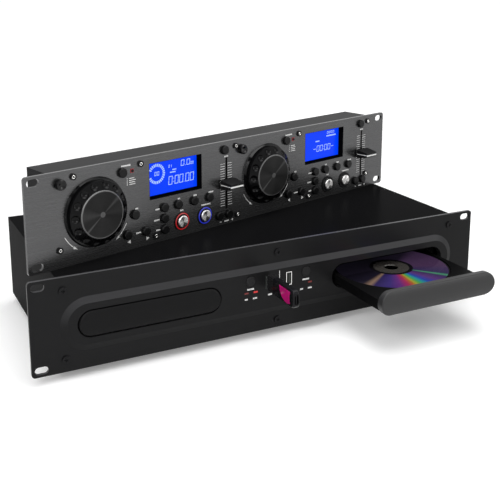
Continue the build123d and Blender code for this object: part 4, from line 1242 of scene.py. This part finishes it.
    def _stick_window(self) -> None:
        """Adds the tinted window in the side of the stick."""
        tint = ClearFinish("magenta_window", (0.62, 0.01, 0.20)).build()
        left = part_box("usb_stick")[0].x / MM
        draft = MeshDraft()
        draft.prism(self.window_outline, left - self.window_out, left + self.window_sunk)
        place = Matrix.Scale(MM, 4) @ Matrix(((0, 0, 1, 0), (-1, 0, 0, 0), (0, 1, 0, 0), (0, 0, 0, 1)))
        draft.piece("stick_window", place, tint, "usb_stick")

    def _rear(self) -> None:
        """Adds the metal collars of the four rear jacks."""
        across, up = self.jack_spacing[0] / 2, self.jack_spacing[1] / 2
        points = [(self.jack_x + side * across, self.jack_z + level * up, 0.0)
                  for side in (-1, 1) for level in (-1, 1)]
        collar_y = (self.rear_y + self.collar_reach) * MM
        place = (Matrix.Translation(Vector((0.0, collar_y, 0.0))) @ Matrix.Scale(MM, 4)
                 @ Matrix(((1, 0, 0, 0), (0, 0, -1, 0), (0, 1, 0, 0), (0, 0, 0, 1))))
        draft = MeshDraft()
        draft.join(self.trees.grow(self.trees.rings, points, Radius=self.collar_radius,
                                   Thickness=self.collar_wire, Material=self.paints.bright))
        draft.piece("jack_collars", place, self.paints.bright, "drive_unit", True)


# -------------------------------------------------------------------------------- control unit
@dataclass
class ControlUnit:
    """The control unit with its displays, jog wheels, knobs, buttons and faders."""

    paints: Paintbox
    trees: RepeatTrees
    yaw: float = 16.0
    ink: float = 0.06
    jog: Spot = (-64.0, 44.5)
    knob: Spot = (-100.0, 76.8)
    knob_foot: float = 0.6
    knob_radius: float = 5.0
    knob_height: float = 5.2
    knob_dish: Spot = (3.2, 0.9)
    fader: Spot = (93.9, 43.5)
    window: Spot = (28.7, 61.8)
    window_size: Spot = (64.5, 36.0)
    display_back: float = -6.5
    liner_wall: float = 0.25
    mask_widths: Spot = (1.5, 1.2)
    lamp: Spot = (-23.0, 76.3)
    lamp_size: Spot = (4.0, 4.0)
    lamp_edge: float = 0.3
    screw_ring: Point = (1.3, 0.42, 1.4)
    legends: tuple[Point, ...] = (
        (-29.8, 82.2, 10.5), (-18.9, 38.7, 3.2), (-17.8, 14.5, 6.0), (5.2, 33.1, 5.0), (4.2, 22.4, 6.4),
        (5.4, 12.1, 5.0), (31.5, 38.9, 3.0), (52.0, 38.6, 4.0), (72.8, 38.4, 6.4), (34.8, 26.4, 4.0),
        (66.0, 26.4, 12.0), (93.8, 72.2, 5.4), (93.6, 3.3, 6.0))
    legend_height: float = 1.5
    list_widths: tuple[float, ...] = (6.0, 7.4, 6.6, 7.0)
    list_corner: Spot = (-26.6, 69.4)
    list_bullet: Spot = (-28.8, 0.8)
    list_height: float = 0.75
    list_pitch: float = 1.95
    arrow_radius: float = 37.2
    arrow_line: float = 0.28
    tick_columns: tuple[Spot, ...] = ((-5.3, 5.7), (4.5, 5.8))
    tick_count: int = 18
    tick_low: float = 20.5
    tick_pitch: float = 2.6
    tick_height: float = 0.36
    ring_centre: Spot = (10.0, 66.4)
    ring_reach: Spot = (7.2, 10.0)
    ring_fill: float = 0.62
    ring_bars: int = 23
    ring_start: float = -158.0
    ring_pitch: float = 13.8
    screws: list[Spot] = field(default_factory=lambda: [
        (-193.5, 81.3), (-210.0, 16.5), (-120.9, 81.5), (-105.3, 7.4), (-1.0, 81.3),
        (1.0, 7.7), (93.5, 81.4), (109.5, 7.2), (211.5, 81.0), (210.0, 17.0)])
    small_buttons: tuple[str, ...] = (
        "option", "search", "back", "forward", "side_top", "side_middle", "side_bottom", "row_left",
        "row_middle", "row_right", "pitch_on", "pitch_minus", "pitch_plus")
    metal_buttons: dict[str, Spot] = field(default_factory=lambda: {
        "cue": (34.5, 15.3), "play": (63.9, 15.3)})
    guide_profile: tuple[Spot, ...] = (
        (7.5, 0.9), (7.5, 1.45), (7.8, 1.7), (8.3, 1.6), (8.6, 1.3), (8.6, 0.9))

    def build(self) -> None:
        """Dresses the unit and adds its small pieces."""
        self._dress_nodes()
        self._screw_rings()
        for deck in Deck:
            self._dress_deck(deck)
            self._marks(deck)
            self._liner(deck)
            self._fader_stripe(deck)
            self._lamp(deck)
        self._segments_left(Deck.LEFT)
        self._segments_right(Deck.RIGHT)
        self._lit_rings(Deck.LEFT)

    def _dress_nodes(self) -> None:
        """Gives the nodes that the decks share their finish."""
        panel = BrushedFinish(
            "anodised_control_panel", (0.082, 0.082, 0.0833), self.yaw, roughness=0.27, metallic=0.85,
            specular=0.4, brush_strength=0.08).build()
        housing = BrushedFinish(
            "dark_housing", (0.013, 0.013, 0.0134), self.yaw, roughness=0.40, metallic=0.1,
            specular=0.02).build()
        display = LitFinish(
            "blue_display", (0.0, 0.005, 0.10), (0.0, 0.045, 0.90), roughness=0.25, unevenness=0.05,
            specular=0.08).build()
        for node, material in (
                ("control_front_panel", panel), ("control_housing", housing),
                ("control_screws", self.paints.black_plastic), ("jog_bezels", self.paints.gloss_black),
                ("display_panels", display), ("button_rings", self.paints.black_plastic),
                ("control_board", self.paints.black_plastic)):
            dress(node, material)

    def _dress_deck(self, deck: Deck) -> None:
        """Gives one deck's moving pieces their finish.

        Args:
            deck: The deck.
        """
        letter = deck.letter
        for name in self.small_buttons:
            dress(f"button_{name}_{letter}", self.paints.cap_black)
        for name, spot in self.metal_buttons.items():
            centre = tuple(CONTROL_PANEL.point(*deck.at(*spot)))
            dress(f"button_{name}_{letter}", TurnedFinish(
                f"turned_silver_{name}_{letter}", centre, self.yaw, face_radius=6.4, face_out=1.0,
                face_colour=(0.72, 0.71, 0.70), body_colour=(0.45, 0.45, 0.45), face_roughness=0.30,
                groove_scale=4200.0, painted_highlight_wedges=BUTTON_PAINTED_HIGHLIGHTS).build())
        centre = tuple(CONTROL_PANEL.point(*deck.at(*self.jog)))
        dress(f"jog_wheel_{letter}", TurnedFinish(
            f"turned_jog_face_{letter}", centre, self.yaw, face_radius=22.4, face_out=11.2,
            face_colour=(0.046, 0.046, 0.046), body_colour=(0.003, 0.003, 0.0033), face_roughness=0.36,
            body_roughness=0.14, face_metallic=0.5, painted_highlight_wedges=JOG_PAINTED_HIGHLIGHTS, boss_radius=2.6, boss_tone=1.6,
            rim_band=(21.2, 22.4), rim_tone=2.4).build())
        self._knob(deck)
        dress(f"fader_cap_{letter}", self.paints.black_plastic)

    def _knob(self, deck: Deck) -> None:
        """Stands a low, dished knob in for one deck's plain knob.

        Args:
            deck: The deck.
        """
        node = f"track_knob_{deck.letter}"
        reach, height, foot = self.knob_radius, self.knob_height, self.knob_foot
        dish, depth = self.knob_dish
        profile = [(0.001, foot), (reach, foot), (reach, height - 1.2), (reach - 0.35, height - 0.35),
                   (reach - 1.2, height), (dish, height - 0.1), (dish * 0.6, height - depth * 0.8),
                   (0.001, height - depth)]
        draft = MeshDraft()
        draft.lathe(deck.at(*self.knob), profile, 64)
        bmesh.ops.remove_doubles(draft.bm, verts=draft.bm.verts, dist=0.005)
        piece = draft.piece(f"knob_{deck.letter}", CONTROL_PANEL.matrix(), self.paints.gloss_black, node,
                            True)
        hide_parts(node)

    def _screw_rings(self) -> None:
        """Adds the bright socket rim of each panel screw."""
        radius, wire, out = self.screw_ring
        points = [(x, y, out) for x, y in self.screws]
        draft = MeshDraft()
        draft.join(self.trees.grow(self.trees.rings, points, Radius=radius, Thickness=wire,
                                   Material=self.paints.bright))
        draft.piece("screw_rims", CONTROL_PANEL.matrix(), self.paints.bright, "control_unit", True)

    def _marks(self, deck: Deck) -> None:
        """Adds one deck's printed legends, arrows, arcs and fader scale.

        Args:
            deck: The deck.
        """
        near, far = -self.ink, self.ink
        draft = MeshDraft()
        for x, y, width in self.legends:
            draft.label(deck.at(x, y), width, self.legend_height, near, far)
        left, top = self.list_corner
        bullet_x, bullet_width = self.list_bullet
        for index, width in enumerate(self.list_widths):
            y = top - self.list_pitch * index
            draft.label(deck.at(left + width / 2, y), width, self.list_height, near, far)
            draft.bar(deck.at(bullet_x, y), (bullet_width, self.list_height), near, far)
        draft.arrow(deck.at(-30.6, 7.9), 3.6, 1.9, 180.0, near, far)
        draft.arrow(deck.at(-5.2, 7.0), 3.6, 1.9, 0.0, near, far)
        draft.bar(deck.at(85.6, 3.3), (2.4, 0.7), near, far)
        draft.bar(deck.at(101.6, 3.3), (2.4, 0.7), near, far)
        draft.bar(deck.at(101.6, 3.3), (0.7, 2.4), near, far * 1.2)
        r = self.arrow_radius
        for start, end, turn in ((207.7, 236.0, 325.0), (-27.6, -56.0, 215.0)):
            draft.arc(deck.at(*self.jog), r - self.arrow_line, r + self.arrow_line, start, end, near, far)
            end_turn = math.radians(end)
            tip = (self.jog[0] + r * math.cos(end_turn), self.jog[1] + r * math.sin(end_turn))
            draft.arrow(deck.at(*tip), 4.0, 1.3, turn, near, far)
        for offset, length in self.tick_columns:
            x, y = deck.at(self.fader[0] + offset, self.tick_low)
            draft.join(self.trees.grow(
                self.trees.row, Count=self.tick_count, Start=(x, y, 0.0), Step=(0.0, self.tick_pitch, 0.0),
                Size=(length, self.tick_height, 2 * self.ink), Material=self.paints.ink))
        draft.piece(f"panel_marks_{deck.letter}", CONTROL_PANEL.matrix(), self.paints.ink, "control_unit")

    def _liner(self, deck: Deck) -> None:
        """Adds the black liner inside a display window and the black strips at its bottom and right.

        Args:
            deck: The deck.
        """
        x, y = self.window
        width, height = self.window_size
        wall, back = self.liner_wall, self.display_back + 0.2
        bottom, right = self.mask_widths
        draft = MeshDraft()
        draft.frame(deck.at(x, y), self.window_size, wall, back, 0.04)
        draft.bar(deck.at(x, y - height / 2 + wall + bottom / 2), (width - 2 * wall, bottom), back,
                  back + 0.4)
        draft.bar(deck.at(x + width / 2 - wall - right / 2, y), (right, height - 2 * wall), back,
                  back + 0.5)
        draft.piece(f"window_liner_{deck.letter}", CONTROL_PANEL.matrix(), self.paints.deep_black,
                    "control_unit")

    def _fader_stripe(self, deck: Deck) -> None:
        """Adds the white stripe over a fader cap's tip and along its left side.

        Args:
            deck: The deck.
        """
        x, y = deck.at(*self.fader)
        draft = MeshDraft()
        draft.bar((x, y - 0.5), (17.2, 1.6), 16.4, 16.62)
        slope = [(-9.52, 2.2), (-9.32, 2.2), (-8.55, 16.5), (-8.75, 16.5)]
        low = [draft.bm.verts.new((x + dx, y - 0.35, out)) for dx, out in slope]
        high = [draft.bm.verts.new((x + dx, y + 0.35, out)) for dx, out in slope]
        draft.bm.faces.new(low)
        draft.bm.faces.new(high[::-1])
        for i in range(4):
            j = (i + 1) % 4
            draft.bm.faces.new((low[i], high[i], high[j], low[j]))
        draft.piece(f"fader_stripe_{deck.letter}", CONTROL_PANEL.matrix(), self.paints.ink,
                    f"fader_cap_{deck.letter}")

    def _lamp(self, deck: Deck) -> None:
        """Adds the dark red lens beside a deck's upper button.

        Args:
            deck: The deck.
        """
        lens = LitFinish(f"red_lens_{deck.letter}", (0.10, 0.005, 0.006), (0.13, 0.006, 0.010)).build()
        draft = MeshDraft()
        draft.bar(deck.at(*self.lamp), self.lamp_size, -0.5, 0.5)
        bmesh.ops.bevel(draft.bm, geom=draft.bm.edges[:], offset=self.lamp_edge, segments=2, affect="EDGES")
        draft.piece(f"lamp_lens_{deck.letter}", CONTROL_PANEL.matrix(), lens, "control_unit", True)

    def _segments(self, name: str, draft: MeshDraft) -> None:
        """Lights a display's figures.

        Args:
            name: Name of the piece.
            draft: The figures.
        """
        light = LitFinish(f"{name}_light", (0.10, 0.15, 0.30), (0.36, 0.52, 1.0), roughness=0.3,
                          unevenness=0.03, specular=0.1).build()
        draft.piece(name, CONTROL_PANEL.matrix(), light, "control_unit")

    def _segments_left(self, deck: Deck) -> None:
        """Shows an open ring of bars, short numbers and a long number on the left display.

        Args:
            deck: The deck.
        """
        near, far = self.display_back - 0.02, self.display_back + 0.1
        draft = MeshDraft()
        for index in range(self.ring_bars):
            start = self.ring_start + index * self.ring_pitch
            draft.arc(deck.at(*self.ring_centre), *self.ring_reach, start,
                      start + self.ring_fill * self.ring_pitch, near, far, 1)
        draft.number("00", deck.at(7.2, 64.6), (2.3, 4.0), 0.5, 0.9, near, far)
        draft.number("0.0", deck.at(39.6, 69.6), (4.2, 6.0), 0.6, 1.2, near, far)
        draft.number("00", deck.at(51.8, 69.6), (1.6, 2.8), 0.4, 0.6, near, far)
        draft.number("0:00.00", deck.at(23.8, 52.8), (4.7, 8.6), 0.62, 1.15, near, far)
        draft.number("01", deck.at(24.4, 70.2), (1.6, 2.8), 0.4, 0.6, near, far)
        draft.label(deck.at(31.5, 67.6), 5.0, 1.2, near, far)
        draft.label(deck.at(29.5, 65.2), 7.0, 1.2, near, far)
        self._segments("display_figures_a", draft)

    def _segments_right(self, deck: Deck) -> None:
        """Shows a middle number, a small number and two short lines on the right display.

        Args:
            deck: The deck.
        """
        near, far = self.display_back - 0.02, self.display_back + 0.1
        draft = MeshDraft()
        draft.number("-00:00-", deck.at(16.6, 54.2), (4.4, 7.0), 0.6, 1.2, near, far)
        draft.number("0000", deck.at(39.5, 73.2), (2.4, 2.6), 0.45, 0.9, near, far)
        draft.label(deck.at(46.6, 70.6), 16.0, 1.6, near, far)
        draft.label(deck.at(23.6, 66.3), 6.6, 1.3, near, far)
        self._segments("display_figures_b", draft)

    def _lit_rings(self, deck: Deck) -> None:
        """Adds the lit light guides round the two metal buttons of one deck.

        Args:
            deck: The deck.
        """
        for name, glow in (("cue", (0.30, 0.008, 0.010)), ("play", (0.014, 0.022, 0.36))):
            light = LitFinish(f"lit_ring_{name}", tuple(0.4 * c for c in glow), glow, roughness=0.3,
                              unevenness=0.3).build()
            draft = MeshDraft()
            draft.lathe(deck.at(*self.metal_buttons[name]), self.guide_profile, 64)
            draft.piece(f"lit_ring_{name}_{deck.letter}", CONTROL_PANEL.matrix(), light, "control_unit",
                        True)


# -------------------------------------------------------------------------------- studio
def white_rays(sheet: NodeSheet) -> bpy.types.NodeSocket:
    """Marks the rays that see the white surround: from the camera, and off gloss or through glass.

    Args:
        sheet: The floor's or the world's sheet.

    Returns:
        1 on those rays and 0 on the others.
    """
    path = sheet.add("ShaderNodeLightPath")
    mirrored = sheet.maths("MAXIMUM", path.outputs["Is Glossy Ray"], path.outputs["Is Transmission Ray"])
    return sheet.maths("MAXIMUM", path.outputs["Is Camera Ray"], mirrored)


@dataclass
class Studio:
    """The plain pale floor, the soft light and the camera."""

    camera_place: Point = (-0.374337, -0.746628, 0.358533)
    camera_yaw: float = 26.770
    camera_pitch: float = 12.365
    lens: float = 60.603
    shift_y: float = -0.2
    floor_drop: float = 0.0002
    floor_reach: float = 30.0
    floor_glow: Spot = (0.22, 0.75)
    glow_distance: Spot = (0.5, 1.6)
    surround: float = 0.3

    def build(self) -> None:
        """Builds the floor, the world, the lamps and the camera."""
        self._floor()
        self._world()
        self._lamps()
        self._camera()

    def _floor(self) -> None:
        """Adds the floor, white where no shadow falls, with more glow of its own far from the lamps."""
        mesh = bpy.data.meshes.new("floor")
        reach, z = self.floor_reach, -self.floor_drop
        mesh.from_pydata([(-reach, -reach, z), (reach, -reach, z), (reach, reach, z), (-reach, reach, z)],
                         [], [(0, 1, 2, 3)])
        floor = bpy.data.objects.new("floor", mesh)
        bpy.context.scene.collection.objects.link(floor)
        material, sheet, shader = new_material("pale_floor")
        shader.inputs["Base Color"].default_value = (0.86, 0.86, 0.86, 1.0)
        shader.inputs["Roughness"].default_value = 0.9
        shader.inputs["Specular IOR Level"].default_value = 0.1
        seen = white_rays(sheet)
        shader.inputs["Emission Color"].default_value = (1.0, 1.0, 1.0, 1.0)
        place = sheet.add("ShaderNodeTexCoord")
        away = sheet.vector("LENGTH", place.outputs["Object"]).outputs["Value"]
        white = sheet.add("ShaderNodeMapRange", {"Value": away, "From Min": self.glow_distance[0],
                                                "From Max": self.glow_distance[1],
                                                "To Min": self.floor_glow[0],
                                                "To Max": self.floor_glow[1]}).outputs[0]
        sheet.tree.links.new(sheet.maths("MULTIPLY", seen, white), shader.inputs["Emission Strength"])
        mesh.materials.append(material)

    def _world(self) -> None:
        """Sets a plain white surround that is full white only to the camera and in reflections."""
        world = bpy.data.worlds.new("studio")
        bpy.context.scene.world = world
        world.use_nodes = True
        sheet = NodeSheet(world.node_tree)
        background = world.node_tree.nodes["Background"]
        background.inputs["Color"].default_value = (1.0, 1.0, 1.0, 1.0)
        seen = white_rays(sheet)
        strength = sheet.maths("MULTIPLY_ADD", seen, 1.0 - self.surround, self.surround)
        sheet.tree.links.new(strength, background.inputs["Strength"])

    def _lamps(self) -> None:
        """Adds three large soft lamps: above, left and right."""
        for name, place, target, size, power in (
                ("top_lamp", (0.1, -0.1, 1.6), (0.0, 0.0, 0.1), (1.6, 1.2), 22.0),
                ("left_lamp", (-0.75, -0.65, 0.75), (-0.1, 0.0, 0.15), (0.5, 0.5), 6.0),
                ("right_lamp", (1.3, -1.3, 0.8), (0.0, 0.0, 0.1), (0.6, 1.0), 9.0)):
            lamp = bpy.data.lights.new(name, "AREA")
            lamp.shape = "RECTANGLE"
            lamp.size, lamp.size_y = size
            lamp.energy = power
            holder = bpy.data.objects.new(name, lamp)
            holder.location = place
            aim = Vector(target) - Vector(place)
            holder.rotation_euler = aim.to_track_quat("-Z", "Y").to_euler()
            bpy.context.scene.collection.objects.link(holder)

    def _camera(self) -> None:
        """Adds the camera at the photograph's viewing angle."""
        data = bpy.data.cameras.new("camera")
        data.lens = self.lens
        data.sensor_width = 36.0
        data.sensor_fit = "HORIZONTAL"
        data.shift_y = self.shift_y
        data.clip_start, data.clip_end = 0.01, 50.0
        camera = bpy.data.objects.new("camera", data)
        camera.location = self.camera_place
        camera.rotation_euler = (math.radians(90.0 - self.camera_pitch), 0.0, -math.radians(self.camera_yaw))
        bpy.context.scene.collection.objects.link(camera)
        bpy.context.scene.camera = camera


def write_sizes() -> None:
    """Updates the view layer so that every piece's place is current."""
    bpy.context.view_layer.update()


def main() -> None:
    """Builds every sub-assembly in order."""
    logging.basicConfig(level=logging.INFO, format="%(name)s %(message)s")
    bpy.context.scene.view_settings.view_transform = "Standard"
    paints = Paintbox()
    trees = RepeatTrees()
    for part in (DriveUnit(paints, trees), ControlUnit(paints, trees), Studio()):
        part.build()
        LOG.info("built %s", type(part).__name__)
    write_sizes()


if __name__ == "__main__":
    main()
